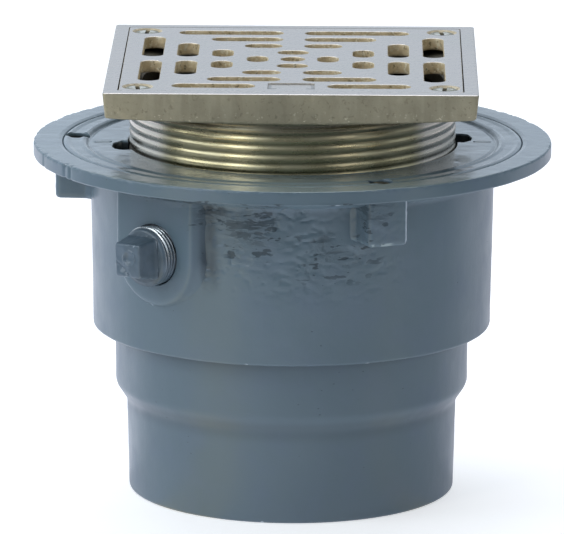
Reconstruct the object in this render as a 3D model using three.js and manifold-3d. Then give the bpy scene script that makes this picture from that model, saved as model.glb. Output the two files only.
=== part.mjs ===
// Floor drain: cast-iron body with anchor flange, clamping collar, square strainer frame on a
// threaded shank, slotted grate, primer plug and outlet gasket.
// Millimetres, +Z up, drain axis on Z, outlet rim at Z = 0, front towards -Y.
// Angles in plan are degrees from the front, towards +X.
import * as THREE from 'three';
import { mergeVertices } from 'three/addons/utils/BufferGeometryUtils.js';
import Module from 'manifold-3d';

const wasm = await Module();
wasm.setup();

// ---------------------------------------------------------------- driving dimensions
const ROUND_SEGMENTS = 56;      // facets round the large turned surfaces
const SHANK_SEGMENTS = 36;      // facets round the threaded shank
const CLEARANCE = 0.3;          // gap left round and under fitted parts
const CUT_TOP = 190;            // top of the cutters that run out above the drain

const plate = {                 // square strainer frame
  side: 152.4,
  top: 181.9,                   // also the top of the grate
  cornerDepth: 10.9,            // side height at the corners
  midDepth: 13.0,               // side height at mid side, where the skirt bows down
  inset: 1.0,                   // foot of the tapered blank, in from the nominal side
  flare: 1.16,                  // outward spread of the blank from its foot to the top
  opening: 141.6,               // square recess for the grate
  ledgeOpening: 131.0,          // clear square inside the ledge that carries the grate
};
const shank = {
  crestRadius: 68.0,
  rootRadius: 66.0,
  bore: 62.4,                   // radius of the water way
  bottom: 131.5,
  pitch: 3.85,
};
const grate = { side: 140.8, thickness: 5.1, centreHole: 5.0 };
const slot = {
  pitch: 14.65,                 // spacing of the square rings of slots
  width: 8.7,
  inner: 4.6,                   // inner end of a slot pair from the centre line
  panelInner: 14.8,             // the same, beside the plain panel
  outer: { 4: 48.7, 3: 34.6, 2: 20.4 },  // outer end, by ring number
  singleLength: 12.9,           // single slots on the first ring
};
const panel = { width: 18.8, depth: 12.6, sink: 0.8, corner: 1.5 };
const screw = {
  x: 62.5,
  y: 61.5,
  headRadius: 5.75,
  radius: 2.9,
  length: 9.0,
  sink: 0.35,                   // head top below the grate top
};
const post = { radius: 6.0, clearRadius: 6.4 };   // corner posts that take the screws

const flange = { radius: 107.9, top: 148.0, thickness: 5.9 };
const collar = {
  radius: 95.6,
  stepRadius: 84.7,             // edge of the lower inner face
  top: 147.5,
  innerTop: 147.0,
  thickness: 6.3,
  bore: 68.6,                   // clears the thread crests
  skirtRadius: 74.2,
  skirtBottom: 119.0,
};
const bolt = {
  circle: 90.0,                 // radius of the bolt circle
  angles: [-95, 24, 145],
  headRadius: 4.6,
  headHeight: 2.6,
  radius: 3.1,
  length: 20.0,                 // below the head
  counterbore: 5.0,             // radius of the pocket round the head
  shelf: 1.5,                   // collar left under the head
};
const body = {
  topRadius: 84.2,
  lowRadius: 83.0,
  bore: 77.6,
  shoulder: 70.0,               // height of the underside of the wide part
  ringRadius: 73.8,
  hubTopRadius: 69.0,
  hubLowRadius: 68.2,
  throatRadius: 50.8,           // 4 in outlet
};
const lug = { halfWidth: 8.7, inner: 79.5, outer: 98.8, bottom: 122.0 };
const pad = {                   // flat-faced arch round the primer plug
  angle: -41,
  face: 85.3,                   // face from the drain axis
  root: 79.0,                   // where its full section starts, inside the body wall
  halfWidth: 21.2,
  top: 140.2,
  bevel: 0.8,
};
const plug = {
  height: 112.4,                // centre line above the outlet rim
  radius: 12.2,
  headWidth: 13.8,              // across flats near the outer face
  headBaseWidth: 16.2,          // across flats at the threaded disc
  out: 15.8,                    // outer face from the pad face
  inside: 8.2,                  // length engaged in the wall
  threadOut: 6.4,               // thread left outside the pad
};

const FLANGE_UNDER = flange.top - flange.thickness;
const COLLAR_UNDER = collar.top - collar.thickness;
const COLLAR_SEAT = COLLAR_UNDER - CLEARANCE;
const BOLT_SEAT = COLLAR_UNDER + bolt.shelf;
const FRAME_UNDER = plate.top - plate.midDepth;
const GRATE_UNDER = plate.top - grate.thickness;
const LEDGE = GRATE_UNDER - CLEARANCE;

const CORNERS = [[-1, -1], [1, -1], [1, 1], [-1, 1]];
const SCREW_CENTRES = CORNERS.map(([x, y]) => ({ x: x * screw.x, y: y * screw.y }));

const finishes = {
  enamel: { color: 0x6b7b8c, roughness: 0.42, metalness: 0.15 },
  plugEnamel: { color: 0x6b7b8c, roughness: 0.42, metalness: 0.2 },
  bronze: { color: 0x8c8468, roughness: 0.4, metalness: 0.85 },
  grateBronze: { color: 0xb9bab4, roughness: 0.38, metalness: 0.85 },
  boltSteel: { color: 0x6d6c68, roughness: 0.45, metalness: 0.9 },
  screwSteel: { color: 0xa8a79f, roughness: 0.35, metalness: 0.9 },
  rubber: { color: 0x1c1c1d, roughness: 0.8, metalness: 0.0 },
};

// ---------------------------------------------------------------- helpers
const radians = (degrees) => degrees * Math.PI / 180;
const vectors = (points) => points.map(([x, y]) => new THREE.Vector2(x, y));

function solid(geometry) {
  geometry.deleteAttribute('normal');
  geometry.deleteAttribute('uv');
  const merged = mergeVertices(geometry, 1e-4);
  return new wasm.Manifold(new wasm.Mesh({
    numProp: 3,
    vertProperties: new Float32Array(merged.getAttribute('position').array),
    triVerts: new Uint32Array(merged.getIndex().array),
  }));
}

// Solid turned about Z from [radius, z] points, listed with the outside going up.
// A profile that doesn't start and end on the axis is closed back to its first point.
function turned(profile, segments = ROUND_SEGMENTS) {
  const points = vectors(profile);
  const onAxis = profile[0][0] === 0 && profile.at(-1)[0] === 0;
  if (!onAxis) points.push(points[0].clone());
  const geometry = new THREE.LatheGeometry(points, segments);
  geometry.rotateX(Math.PI / 2);
  return solid(geometry);
}

function rod(radius, z0, z1, { x = 0, y = 0, segments = 24, topRadius = radius } = {}) {
  const geometry = new THREE.CylinderGeometry(topRadius, radius, z1 - z0, segments);
  geometry.rotateX(Math.PI / 2);
  geometry.translate(x, y, (z0 + z1) / 2);
  return solid(geometry);
}

// square frustum on the Z axis, sides square to X and Y
function squareTaper(lowerHalf, upperHalf, z0, z1) {
  const geometry = new THREE.CylinderGeometry(
    upperHalf * Math.SQRT2, lowerHalf * Math.SQRT2, z1 - z0, 4);
  geometry.rotateX(Math.PI / 2);
  geometry.rotateZ(Math.PI / 4);
  geometry.translate(0, 0, (z0 + z1) / 2);
  return solid(geometry);
}

function box(x0, x1, y0, y1, z0, z1) {
  const geometry = new THREE.BoxGeometry(x1 - x0, y1 - y0, z1 - z0);
  geometry.translate((x0 + x1) / 2, (y0 + y1) / 2, (z0 + z1) / 2);
  return solid(geometry);
}

// bevel options add to the height outside z0 to z1
function extrude(points, z0, z1, bevel = { bevelEnabled: false }) {
  const shape = new THREE.Shape(vectors(points));
  const geometry = new THREE.ExtrudeGeometry(shape, { depth: z1 - z0, ...bevel });
  geometry.translate(0, 0, z0);
  return solid(geometry);
}

function arc(centreX, centreY, radius, start, sweep, steps) {
  return Array.from({ length: steps + 1 }, (_, i) => {
    const angle = radians(start + sweep * i / steps);
    return [centreX + radius * Math.cos(angle), centreY + radius * Math.sin(angle)];
  });
}

function roundedRectangle(halfX, halfY, radius, steps) {
  return [[1, 1, 0], [-1, 1, 90], [-1, -1, 180], [1, -1, 270]].flatMap(
    ([sideX, sideY, start]) => arc(
      sideX * (halfX - radius), sideY * (halfY - radius), radius, start, 90, steps));
}

const roundedSquare = (half, radius, steps) => roundedRectangle(half, half, radius, steps);

const boltCentres = bolt.angles.map((angle) => ({
  x: bolt.circle * Math.sin(radians(angle)),
  y: -bolt.circle * Math.cos(radians(angle)),
}));

// lays a piece built along +Z from the origin on the plug's centre line, pointing outwards
const layOnPlugLine = (piece) => piece
  .rotate([90, 0, 0])
  .rotate([0, 0, pad.angle])
  .translate([0, 0, plug.height]);

// ---------------------------------------------------------------- drain body
function boltLug(angle) {
  const { halfWidth, inner, outer } = lug;
  const outline = [
    [-halfWidth, inner], [halfWidth, inner],
    [halfWidth, outer - 3.2], [halfWidth - 0.8, outer - 1.1], [halfWidth - 3.0, outer],
    [-halfWidth + 3.0, outer], [-halfWidth + 0.8, outer - 1.1], [-halfWidth, outer - 3.2],
  ];
  const overlap = 0.3;          // runs up into the flange
  return extrude(outline, lug.bottom, FLANGE_UNDER + overlap).rotate([0, 0, 180 + angle]);
}

function primerPad() {
  const top = pad.top - plug.height;
  const outline = [
    ...arc(0, 0, pad.halfWidth, 180, 180, 14),
    [pad.halfWidth, top], [-pad.halfWidth, top],
  ];
  return layOnPlugLine(extrude(outline, pad.root, pad.face - pad.bevel, {
    bevelEnabled: true,
    bevelThickness: pad.bevel,
    bevelSize: pad.bevel,
    bevelOffset: -pad.bevel,    // keeps the full section at the outline
    bevelSegments: 2,
  }));
}

function drainBody() {
  const pocket = collar.radius + CLEARANCE;
  let casting = turned([
    // outside, from the outlet rim up to the flange
    [61.6, 0], [66.8, 0], [body.hubLowRadius, 0.9], [body.hubTopRadius, 37.5],
    [72.5, 44.6], [body.ringRadius, 46.6],
    [body.ringRadius, body.shoulder - 1.2], [75.0, body.shoulder],
    [body.lowRadius - 1.2, body.shoulder], [body.lowRadius, body.shoulder + 1.2],
    [body.topRadius, 130.5], [85.0, 134.9], [88.0, 138.0], [93.4, 138.0],
    [99.5, FLANGE_UNDER], [flange.radius - 0.5, FLANGE_UNDER],
    [flange.radius, FLANGE_UNDER + 0.5],
    [flange.radius, flange.top - 0.6], [flange.radius - 0.6, flange.top],
    // inside, from the collar pocket down to the outlet
    [pocket, flange.top], [pocket, COLLAR_SEAT], [body.bore, COLLAR_SEAT],
    [body.bore - 0.8, 78.0], [74.0, 73.0], [56.0, 65.6],
    [body.throatRadius, 62.5], [body.throatRadius, 58.5],
    [60.4, 58.5], [60.4, 40.2], [62.6, 38.2], [62.6, 7.0], [60.9, 5.0],
  ]);
  for (const angle of bolt.angles) casting = casting.add(boltLug(angle));
  // trims the lug tops back to the collar seat
  casting = casting.subtract(rod(pocket, COLLAR_SEAT, CUT_TOP, { segments: ROUND_SEGMENTS }));

  const plugBore = rod(plug.radius + CLEARANCE, 70, 100, { segments: 32 });
  casting = casting.add(primerPad()).subtract(layOnPlugLine(plugBore));

  // bolt holes through the seat into the lugs, closed at the bottom
  const holeBottom = BOLT_SEAT - bolt.length - CLEARANCE;
  for (const centre of boltCentres) {
    casting = casting.subtract(
      rod(bolt.radius + CLEARANCE, holeBottom, CUT_TOP, { ...centre, segments: 20 }));
  }
  return casting;
}

// ---------------------------------------------------------------- clamping collar
function clampingCollar() {
  const { radius, stepRadius, top, innerTop, bore, skirtRadius, skirtBottom } = collar;
  let ring = turned([
    [bore, skirtBottom], [skirtRadius - 0.8, skirtBottom], [skirtRadius, skirtBottom + 0.8],
    [skirtRadius, COLLAR_UNDER - 1.6], [skirtRadius + 1.6, COLLAR_UNDER],
    [radius - 0.4, COLLAR_UNDER], [radius, COLLAR_UNDER + 0.4],
    [radius, top - 0.4], [radius - 0.4, top],
    [stepRadius + 0.5, top], [stepRadius, innerTop],
    [bore + 0.6, innerTop], [bore, innerTop - 0.6],
  ]);
  for (const centre of boltCentres) {
    ring = ring
      .subtract(rod(bolt.radius + 0.4, 130, CUT_TOP, { ...centre, segments: 20 }))
      .subtract(rod(bolt.counterbore, BOLT_SEAT, CUT_TOP, { ...centre, segments: 28 }));
  }
  // two weep notches open to the bore, half a turn apart, each with a low rib running out
  const notch = box(60, 74.5, 0, 19.5, 139.0, CUT_TOP);
  const rib = box(74.3, 84.9, -0.5, 1.5, 145, innerTop + 0.35);
  for (const turn of [0, 180]) ring = ring.subtract(notch.rotate([0, 0, turn]));
  for (const turn of [0, 180]) ring = ring.add(rib.rotate([0, 0, turn]));
  return ring;
}

// ---------------------------------------------------------------- collar bolts
// slotted heads sunk in the collar
function collarBolt(centre, turn) {
  const { radius, headRadius } = bolt;
  const tip = BOLT_SEAT - bolt.length;
  const underHead = BOLT_SEAT + 0.05;
  const headTop = BOLT_SEAT + bolt.headHeight;
  return turned([
    [0, tip], [radius - 0.9, tip], [radius, tip + 0.9], [radius, underHead],
    [headRadius, underHead], [headRadius, headTop - 0.7], [headRadius - 1.0, headTop],
    [0, headTop + 0.2],
  ], 24)
    .subtract(box(-6, 6, -0.7, 0.7, headTop - 1.5, BOLT_SEAT + 8))
    .rotate([0, 0, turn])
    .translate([centre.x, centre.y, 0]);
}

// ---------------------------------------------------------------- strainer frame
const HALF_PLATE = plate.side / 2;

// slab along Y whose underside bows down in the middle
function bowedSlab() {
  const steps = 12;
  const reach = HALF_PLATE + 1;
  const outline = [];
  for (let i = 0; i <= steps; i++) {
    const x = -reach + 2 * reach * i / steps;
    const fraction = Math.min(1, Math.abs(x) / HALF_PLATE);
    const bow = (plate.midDepth - plate.cornerDepth) * (1 - fraction * fraction);
    outline.push([x, plate.top - plate.cornerDepth - bow]);
  }
  outline.push([reach, plate.top], [-reach, plate.top]);
  return extrude(outline, -HALF_PLATE - 2, HALF_PLATE + 2).rotate([90, 0, 0]);
}

// shank blank, its thread form turned as a run of separate ridges
function threadedShank() {
  const { crestRadius, rootRadius, bottom, pitch } = shank;
  const top = plate.top - 7.5;
  const lastRidge = FRAME_UNDER - 3.1;
  const ridges = [];
  for (let z = bottom + 3.1; z < lastRidge; z += pitch) {
    ridges.push(
      [rootRadius, z - 1.7], [crestRadius, z - 0.6],
      [crestRadius, z + 0.6], [rootRadius, z + 1.7]);
  }
  return turned([
    [0, bottom], [rootRadius - 1.0, bottom], [rootRadius, bottom + 1.0],
    ...ridges,
    [rootRadius, top], [0, top],
  ], SHANK_SEGMENTS);
}

function strainerFrame() {
  // the widest section of this blank is at the frame top; the bowed slabs trim its underside
  const blank = extrude(
    roundedSquare(HALF_PLATE - plate.inset, 0.9, 3), plate.top, plate.top + 0.2, {
      bevelEnabled: true,
      bevelThickness: plate.midDepth + 2.0,
      bevelSize: plate.flare,
      bevelSegments: 1,
    });
  const slab = bowedSlab();
  let frame = slab.add(slab.rotate([0, 0, 90])).intersect(blank);

  // hollow under the tray between the skirt and the shank
  frame = frame.subtract(
    extrude(roundedSquare(HALF_PLATE - 5.0, 3.0, 3), FRAME_UNDER - 3, plate.top - 9.2));
  // conical boss where the shank meets the tray
  frame = frame.add(rod(72.5, FRAME_UNDER - 1.2, plate.top - 6.0, {
    segments: SHANK_SEGMENTS, topRadius: 74.0,
  }));
  frame = frame.add(threadedShank());

  // grate recess, then the sloping floor inside the ledge, then the water way
  frame = frame.subtract(
    extrude(roundedSquare(plate.opening / 2, 1.6, 3), LEDGE, plate.top + 1));
  const floorFootHalf = shank.bore * 1.30 / Math.SQRT2;
  let floor = squareTaper(floorFootHalf, plate.ledgeOpening / 2, LEDGE - 2.6, LEDGE);
  // the corner posts stay standing
  for (const centre of SCREW_CENTRES) {
    floor = floor.subtract(rod(post.clearRadius, 160, CUT_TOP, { ...centre, segments: 20 }));
  }
  frame = frame.subtract(floor);
  frame = frame.subtract(
    rod(shank.bore, shank.bottom - 5, CUT_TOP, { segments: SHANK_SEGMENTS }));

  // corner posts carried down under the tray floor, with screw bores
  for (const centre of SCREW_CENTRES) {
    frame = frame
      .add(rod(post.radius, plate.top - 10.2, GRATE_UNDER - 0.6, { ...centre, segments: 20 }))
      .subtract(rod(screw.radius + CLEARANCE, 150, CUT_TOP, { ...centre, segments: 16 }));
  }
  return frame;
}

// ---------------------------------------------------------------- slotted grate
const GRATE_CUT = [GRATE_UNDER - 1, plate.top + 1];   // bottom and top of through cuts

// round-ended slot along X, in the front quarter of the grate
function slotCutter(x0, x1, ring) {
  const radius = slot.width / 2;
  const y = -ring * slot.pitch;
  return extrude([
    ...arc(x1 - radius, y, radius, -90, 180, 5),
    ...arc(x0 + radius, y, radius, 90, 180, 5),
  ], ...GRATE_CUT);
}

function strainerGrate() {
  let sheet = extrude(roundedSquare(grate.side / 2, 1.2, 3), GRATE_UNDER, plate.top);
  for (const side of [0, 1, 2, 3]) {       // front, right, back, left
    const cut = (x0, x1, ring) => {
      sheet = sheet.subtract(slotCutter(x0, x1, ring).rotate([0, 0, 90 * side]));
    };
    for (const ring of [4, 3, 2]) {
      const inner = side === 0 && ring === 4 ? slot.panelInner : slot.inner;
      const outer = slot.outer[ring];
      cut(-outer, -inner, ring);
      cut(inner, outer, ring);
    }
    cut(-slot.singleLength / 2, slot.singleLength / 2, 1);
  }
  sheet = sheet.subtract(rod(grate.centreHole, ...GRATE_CUT, { segments: 20 }));

  // plain recessed panel by the front edge
  const panelOutline = roundedRectangle(panel.width / 2, panel.depth / 2, panel.corner, 3);
  sheet = sheet.subtract(extrude(panelOutline, plate.top - panel.sink, plate.top + 1)
    .translate([0, -4 * slot.pitch - 0.2, 0]));

  // countersunk screw holes
  for (const centre of SCREW_CENTRES) {
    sheet = sheet
      .subtract(rod(screw.radius + 0.5, ...GRATE_CUT, centre))
      .subtract(rod(screw.radius + CLEARANCE, plate.top - 3.6, plate.top + 0.4, {
        ...centre, topRadius: screw.headRadius + 0.7,
      }));
  }
  return sheet;
}

// ---------------------------------------------------------------- grate screws
// countersunk, with a slot
function grateScrew(centre, turn) {
  const { radius, headRadius } = screw;
  const top = plate.top - screw.sink;
  const tip = top - screw.length;
  return turned([
    [0, tip], [radius - 1.0, tip], [radius, tip + 1.2], [radius, top - 3.1],
    [headRadius - 0.45, top - 0.35], [headRadius - 0.55, top], [0, top],
  ], 24)
    .subtract(box(-0.75, 0.75, -7, 7, top - 1.5, top + 2))
    .rotate([0, 0, turn])
    .translate([centre.x, centre.y, 0]);
}

// ---------------------------------------------------------------- primer plug
// built along +Z from its inner end, then laid in its bore
function primerPlug() {
  const { radius, inside } = plug;
  const threadEnd = inside + plug.threadOut;
  const thread = turned([
    [0, 0], [radius - 1.5, 0], [radius - 0.9, 0.9], [radius - 0.15, inside],
    [radius - 0.15, inside + 1.0], [radius - 1.1, inside + 1.7],
    [radius + 0.1, inside + 2.4], [radius + 0.1, inside + 2.9],
    [radius - 1.0, inside + 3.6],
    [radius + 0.25, inside + 4.3], [radius + 0.25, inside + 4.8],
    [radius - 0.9, inside + 5.4], [radius - 0.3, inside + 5.9],
    [radius - 0.6, threadEnd], [0, threadEnd],
  ], 36);

  // wrench square, drawn in slightly towards its chamfered outer face
  const headStart = threadEnd - 1.5;
  const face = inside + plug.out;
  const chamfer = face - 0.7;
  const half = plug.headWidth / 2;
  const baseHalf = plug.headBaseWidth / 2;
  const head = extrude(roundedSquare(baseHalf - 0.1, 0.8, 2), headStart, face).intersect(
    squareTaper(half, half - 0.6, chamfer, face)
      .add(squareTaper(baseHalf, half, headStart, chamfer)));

  // shallow dimple in the outer face
  const dimple = rod(1.2, face - 0.7, face + 1, { segments: 20, topRadius: 2.6 });
  return layOnPlugLine(thread.add(head).subtract(dimple)
    .rotate([0, 0, 3])
    .translate([0, 0, pad.face - inside]));
}

// ---------------------------------------------------------------- outlet gasket
function outletGasket() {
  return turned([
    [57.6, 7.6], [62.3, 7.4], [62.3, 37.6], [58.6, 38.2], [58.2, 30.0],
    [56.8, 27.0], [58.2, 24.0], [58.2, 16.0], [56.8, 13.0],
  ]);
}

// ---------------------------------------------------------------- assembly
const group = new THREE.Group();
group.name = 'floor_drain';

function addPiece(name, piece, finish) {
  const { vertProperties, triVerts } = piece.getMesh();
  const indexed = new THREE.BufferGeometry();
  indexed.setAttribute('position', new THREE.BufferAttribute(vertProperties, 3));
  indexed.setIndex(new THREE.BufferAttribute(triVerts, 1));
  const geometry = indexed.toNonIndexed();   // flat shading
  geometry.computeVertexNormals();
  const mesh = new THREE.Mesh(geometry, new THREE.MeshStandardMaterial(finish));
  mesh.name = name;
  group.add(mesh);
}

addPiece('drain_body', drainBody(), finishes.enamel);
addPiece('clamping_collar', clampingCollar(), finishes.enamel);
boltCentres.forEach((centre, i) => {
  addPiece(`collar_bolt_${i + 1}`, collarBolt(centre, 20 + 57 * i), finishes.boltSteel);
});
addPiece('strainer_frame', strainerFrame(), finishes.bronze);
addPiece('strainer_grate', strainerGrate(), finishes.grateBronze);
const SCREW_TURNS = [12, -10, 14, -8];       // degrees
SCREW_CENTRES.forEach((centre, i) => {
  addPiece(`grate_screw_${i + 1}`, grateScrew(centre, SCREW_TURNS[i]), finishes.screwSteel);
});
addPiece('primer_plug', primerPlug(), finishes.plugEnamel);
addPiece('outlet_gasket', outletGasket(), finishes.rubber);

export default group;
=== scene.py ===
# A floor drain: a round enamelled body with a flange and a clamping collar, and above it
# a square nickel bronze frame on a threaded shank, with its slotted grate.
# It stands on z = 0 with its axis on Z and its front towards -Y; the primer plug is at the
# front left. Plan angles are in degrees from the front (-Y) towards +X.
# Shapes are in millimetres; materials, lights and placed objects are in metres.
import math

import bmesh
import bpy
import numpy as np
from mathutils import Matrix, Vector


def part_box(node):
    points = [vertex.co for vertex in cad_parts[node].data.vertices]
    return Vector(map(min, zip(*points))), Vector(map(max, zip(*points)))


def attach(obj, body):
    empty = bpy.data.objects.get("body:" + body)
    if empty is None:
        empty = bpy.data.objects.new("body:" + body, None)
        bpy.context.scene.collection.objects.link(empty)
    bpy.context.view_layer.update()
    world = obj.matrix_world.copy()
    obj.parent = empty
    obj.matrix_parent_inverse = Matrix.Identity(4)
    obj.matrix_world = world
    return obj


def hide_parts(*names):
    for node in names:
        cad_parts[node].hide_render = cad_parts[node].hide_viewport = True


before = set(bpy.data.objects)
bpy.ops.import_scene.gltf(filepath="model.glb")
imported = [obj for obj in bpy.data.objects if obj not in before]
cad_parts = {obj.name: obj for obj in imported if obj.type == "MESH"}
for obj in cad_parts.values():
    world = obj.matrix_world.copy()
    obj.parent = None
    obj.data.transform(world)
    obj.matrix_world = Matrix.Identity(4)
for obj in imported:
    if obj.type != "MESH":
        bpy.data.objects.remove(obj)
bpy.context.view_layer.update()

MM = 0.001
TAU = 2 * math.pi


# ------------------------------------------------------------------ shared dimensions (mm)
FRAME_LOW, FRAME_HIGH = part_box("strainer_frame")
DRAIN_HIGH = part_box("drain_body")[1]
PLATE_TOP = FRAME_HIGH[2] * 1000
PLATE_HALF = FRAME_HIGH[0] * 1000
SHANK_BOTTOM = FRAME_LOW[2] * 1000
FLANGE_R = DRAIN_HIGH[0] * 1000
FLANGE_TOP = DRAIN_HIGH[2] * 1000
FLANGE_UNDER = FLANGE_TOP - 5.9
COLLAR_TOP = FLANGE_TOP - 0.5
COLLAR_UNDER = COLLAR_TOP - 6.3
COLLAR_RECESS_R = 95.75             # recess in the body that holds the collar
BOLT_SHELF = COLLAR_UNDER + 1.5     # under the bolt heads
BOLT_CIRCLE_R = 90.0
BOLT_ANGLES = (-95.0, 24.0, 145.0)
FRONT_BOLT = 1                      # index of the lug and bolt at the front
PAD_ANGLE = -41.0
PAD_FACE = 85.3                     # distance of the pad's flat face from the axis
PLUG_Z = 112.4
GRATE_T = 5.1
SCREW_X, SCREW_Y = 62.5, 61.5
SCREWS = ((-SCREW_X, -SCREW_Y), (SCREW_X, -SCREW_Y), (SCREW_X, SCREW_Y), (-SCREW_X, SCREW_Y))
SCREW_TOP = PLATE_TOP - 0.35
SLOT_PITCH = 14.65                  # from one ring of grate slots to the next


# ------------------------------------------------------------------ numbers and outlines
LATTICES = {seed: np.random.RandomState(seed).rand(32, 32, 32) for seed in range(1, 9)}


def mix_values(a, b, t):
    return a * (1 - t) + b * t


def lumps(points, size, seed, stretch=(1, 1, 1)):
    """Smooth value noise in -1..1 at points (..., 3), with lumps about size mm across."""
    q = points / (np.array(stretch) * size) + 3.7 * seed
    cell = np.floor(q).astype(int)
    f = q - cell
    f = f * f * (3 - 2 * f)
    fx, fy, fz = f[..., 0], f[..., 1], f[..., 2]
    low = cell & 31
    high = (cell + 1) & 31
    x0, y0, z0 = low[..., 0], low[..., 1], low[..., 2]
    x1, y1, z1 = high[..., 0], high[..., 1], high[..., 2]
    lattice = LATTICES[seed]

    def along_x(y, z):
        return mix_values(lattice[x0, y, z], lattice[x1, y, z], fx)

    bottom = mix_values(along_x(y0, z0), along_x(y1, z0), fy)
    top = mix_values(along_x(y0, z1), along_x(y1, z1), fy)
    return 2 * mix_values(bottom, top, fz) - 1


def smooth(start, end, value):
    """Eased step from 0 at start to 1 at end."""
    t = np.clip((value - start) / (end - start), 0, 1)
    return t * t * (3 - 2 * t)


def steps(start, end, count):
    """Evenly spaced values after start, up to and including end."""
    return [start + (end - start) * k / count for k in range(1, count + 1)]


def corner_arc(p, before, after, radius, arc):
    """Points that round the corner p between its two neighbours."""
    a, b = before - p, after - p
    length_a, length_b = np.linalg.norm(a), np.linalg.norm(b)
    a, b = a / length_a, b / length_b
    angle = math.acos(float(np.clip(a @ b, -1, 1)))
    if radius <= 0 or angle > math.pi - 0.02:
        return [p]
    d = min(radius / math.tan(angle / 2), 0.48 * length_a, 0.48 * length_b)
    r = d * math.tan(angle / 2)
    centre = p + (a + b) / np.linalg.norm(a + b) * (r / math.sin(angle / 2))
    first = math.atan2(*(p + a * d - centre)[::-1])
    last = math.atan2(*(p + b * d - centre)[::-1])
    sweep = (last - first + math.pi) % TAU - math.pi
    count = max(2, int(arc * abs(sweep) / 1.2) + 1)
    turns = [first + sweep * j / count for j in range(count + 1)]
    return [centre + r * np.array([math.cos(t), math.sin(t)]) for t in turns]


def rounded(corners, step, closed=True, arc=5):
    """Polyline through (x, y, radius) corners, rounded and sampled at most step apart."""
    n = len(corners)
    places = [np.array(c[:2], float) for c in corners]
    path = []
    for k, p in enumerate(places):
        if not closed and k in (0, n - 1):
            path.append(p)
        else:
            before, after = places[(k - 1) % n], places[(k + 1) % n]
            path += corner_arc(p, before, after, corners[k][2], arc)
    points = []
    for k in range(len(path) if closed else len(path) - 1):
        p, q = path[k], path[(k + 1) % len(path)]
        length = np.linalg.norm(q - p)
        if length < 1e-6:
            continue
        cuts = max(1, int(math.ceil(length / step)))
        points += [p + (q - p) * j / cuts for j in range(cuts)]
    if not closed:
        points.append(path[-1])
    return np.array(points)


def circle(radius, count, cx=0.0, cy=0.0):
    angles = [TAU * k / count for k in range(count)]
    return np.array([(cx + radius * math.cos(a), cy + radius * math.sin(a)) for a in angles])


def round_rect(half_x, half_y, radius, cx=0.0, cy=0.0, step=1.5):
    corners = [(cx + half_x * sx, cy + half_y * sy, radius)
               for sx, sy in ((1, -1), (1, 1), (-1, 1), (-1, -1))]
    return rounded(corners, step, arc=6)


def stadium(x0, x1, y0, y1):
    """Slot outline with half-round ends."""
    r = min(x1 - x0, y1 - y0) / 2
    if x1 - x0 > y1 - y0:
        ends = [((x1 - r, (y0 + y1) / 2), -90), ((x0 + r, (y0 + y1) / 2), 90)]
    else:
        ends = [(((x0 + x1) / 2, y1 - r), 0), (((x0 + x1) / 2, y0 + r), 180)]
    path = []
    for (cx, cy), start in ends:
        for i in range(11):
            a = math.radians(start + 180 * i / 10)
            path.append((cx + r * math.cos(a), cy + r * math.sin(a)))
    points = []
    for k in range(len(path)):
        p, q = np.array(path[k]), np.array(path[(k + 1) % len(path)])
        cuts = max(1, int(np.linalg.norm(q - p) / 0.8))
        points += [p + (q - p) * j / cuts for j in range(cuts)]
    return np.array(points)


def side_places(count):
    """Places of the points along one side of a rounded square, in -1..1."""
    return [-1 + 2 * (k + 0.5) / count for k in range(count)]


def rounded_square(half, corner, counts):
    """Rounded square; counts = (points per side, points per corner), so rings can be joined."""
    quarter = [(half, t * (half - corner)) for t in side_places(counts[0])]
    for k in range(counts[1]):
        a = math.pi / 2 * ((k + 0.5) / counts[1])
        quarter.append((half - corner + corner * math.cos(a), half - corner + corner * math.sin(a)))
    points = []
    for c, s in ((1, 0), (0, 1), (-1, 0), (0, -1)):
        points += [(x * c - y * s, x * s + y * c) for x, y in quarter]
    return np.array(points)


def unit_circle(counts):
    """Circle of radius 1 whose points match rounded_square with the same counts."""
    p = rounded_square(100.0, 1.0, counts)
    return p / np.linalg.norm(p, axis=1)[:, None]


def outline_normals(outline):
    t = np.roll(outline, -1, 0) - np.roll(outline, 1, 0)
    n = np.stack([t[:, 1], -t[:, 0]], -1)
    return n / np.linalg.norm(n, axis=1)[:, None]


def direction(angle):
    """Outward direction in plan at this angle."""
    a = math.radians(angle)
    return np.array([math.sin(a), -math.cos(a)])


def pad_matrix():
    """Takes local +Z to the pad's outward direction and local +Y to up, from the axis."""
    d = direction(PAD_ANGLE)
    out = Vector((d[0], d[1], 0))
    up = Vector((0, 0, 1))
    matrix = Matrix((up.cross(out), up, out)).transposed().to_4x4()
    matrix.translation = Vector((0, 0, PLUG_Z * MM))
    return matrix


# ------------------------------------------------------------------ surfaces (points are rows x columns x 3)
def at_height(ring, z):
    return np.column_stack([ring, np.broadcast_to(z, len(ring))])


def circle_row(unit, radius, z):
    """One row on a unit circle scaled by a radius, or by one radius for each point."""
    return at_height(unit * np.reshape(radius, (-1, 1)), z)


def turned(profile, count):
    """Surface of revolution of (radius, height) points, starting at the front."""
    a = TAU * np.arange(count) / count
    r = profile[:, 0][:, None]
    z = np.broadcast_to(profile[:, 1][:, None], (len(profile), count))
    return np.stack([r * np.sin(a), -r * np.cos(a), z], -1)


def stacked(outline, rows):
    """Surface from an outline and rows of (outward offset, height)."""
    normals = outline_normals(outline)
    return np.array([at_height(outline + normals * offset, z) for offset, z in rows])


def push_out(points, amount, angle):
    """Moves points away from the Z axis; angle is each point's plan angle in radians."""
    points[..., 0] += amount * np.sin(angle)
    points[..., 1] -= amount * np.cos(angle)


def shade(ob, angle):
    mesh = ob.data
    mesh.polygons.foreach_set("use_smooth", np.ones(len(mesh.polygons), bool))
    mesh.set_sharp_from_angle(angle=math.radians(angle))
    mesh.update()


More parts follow.
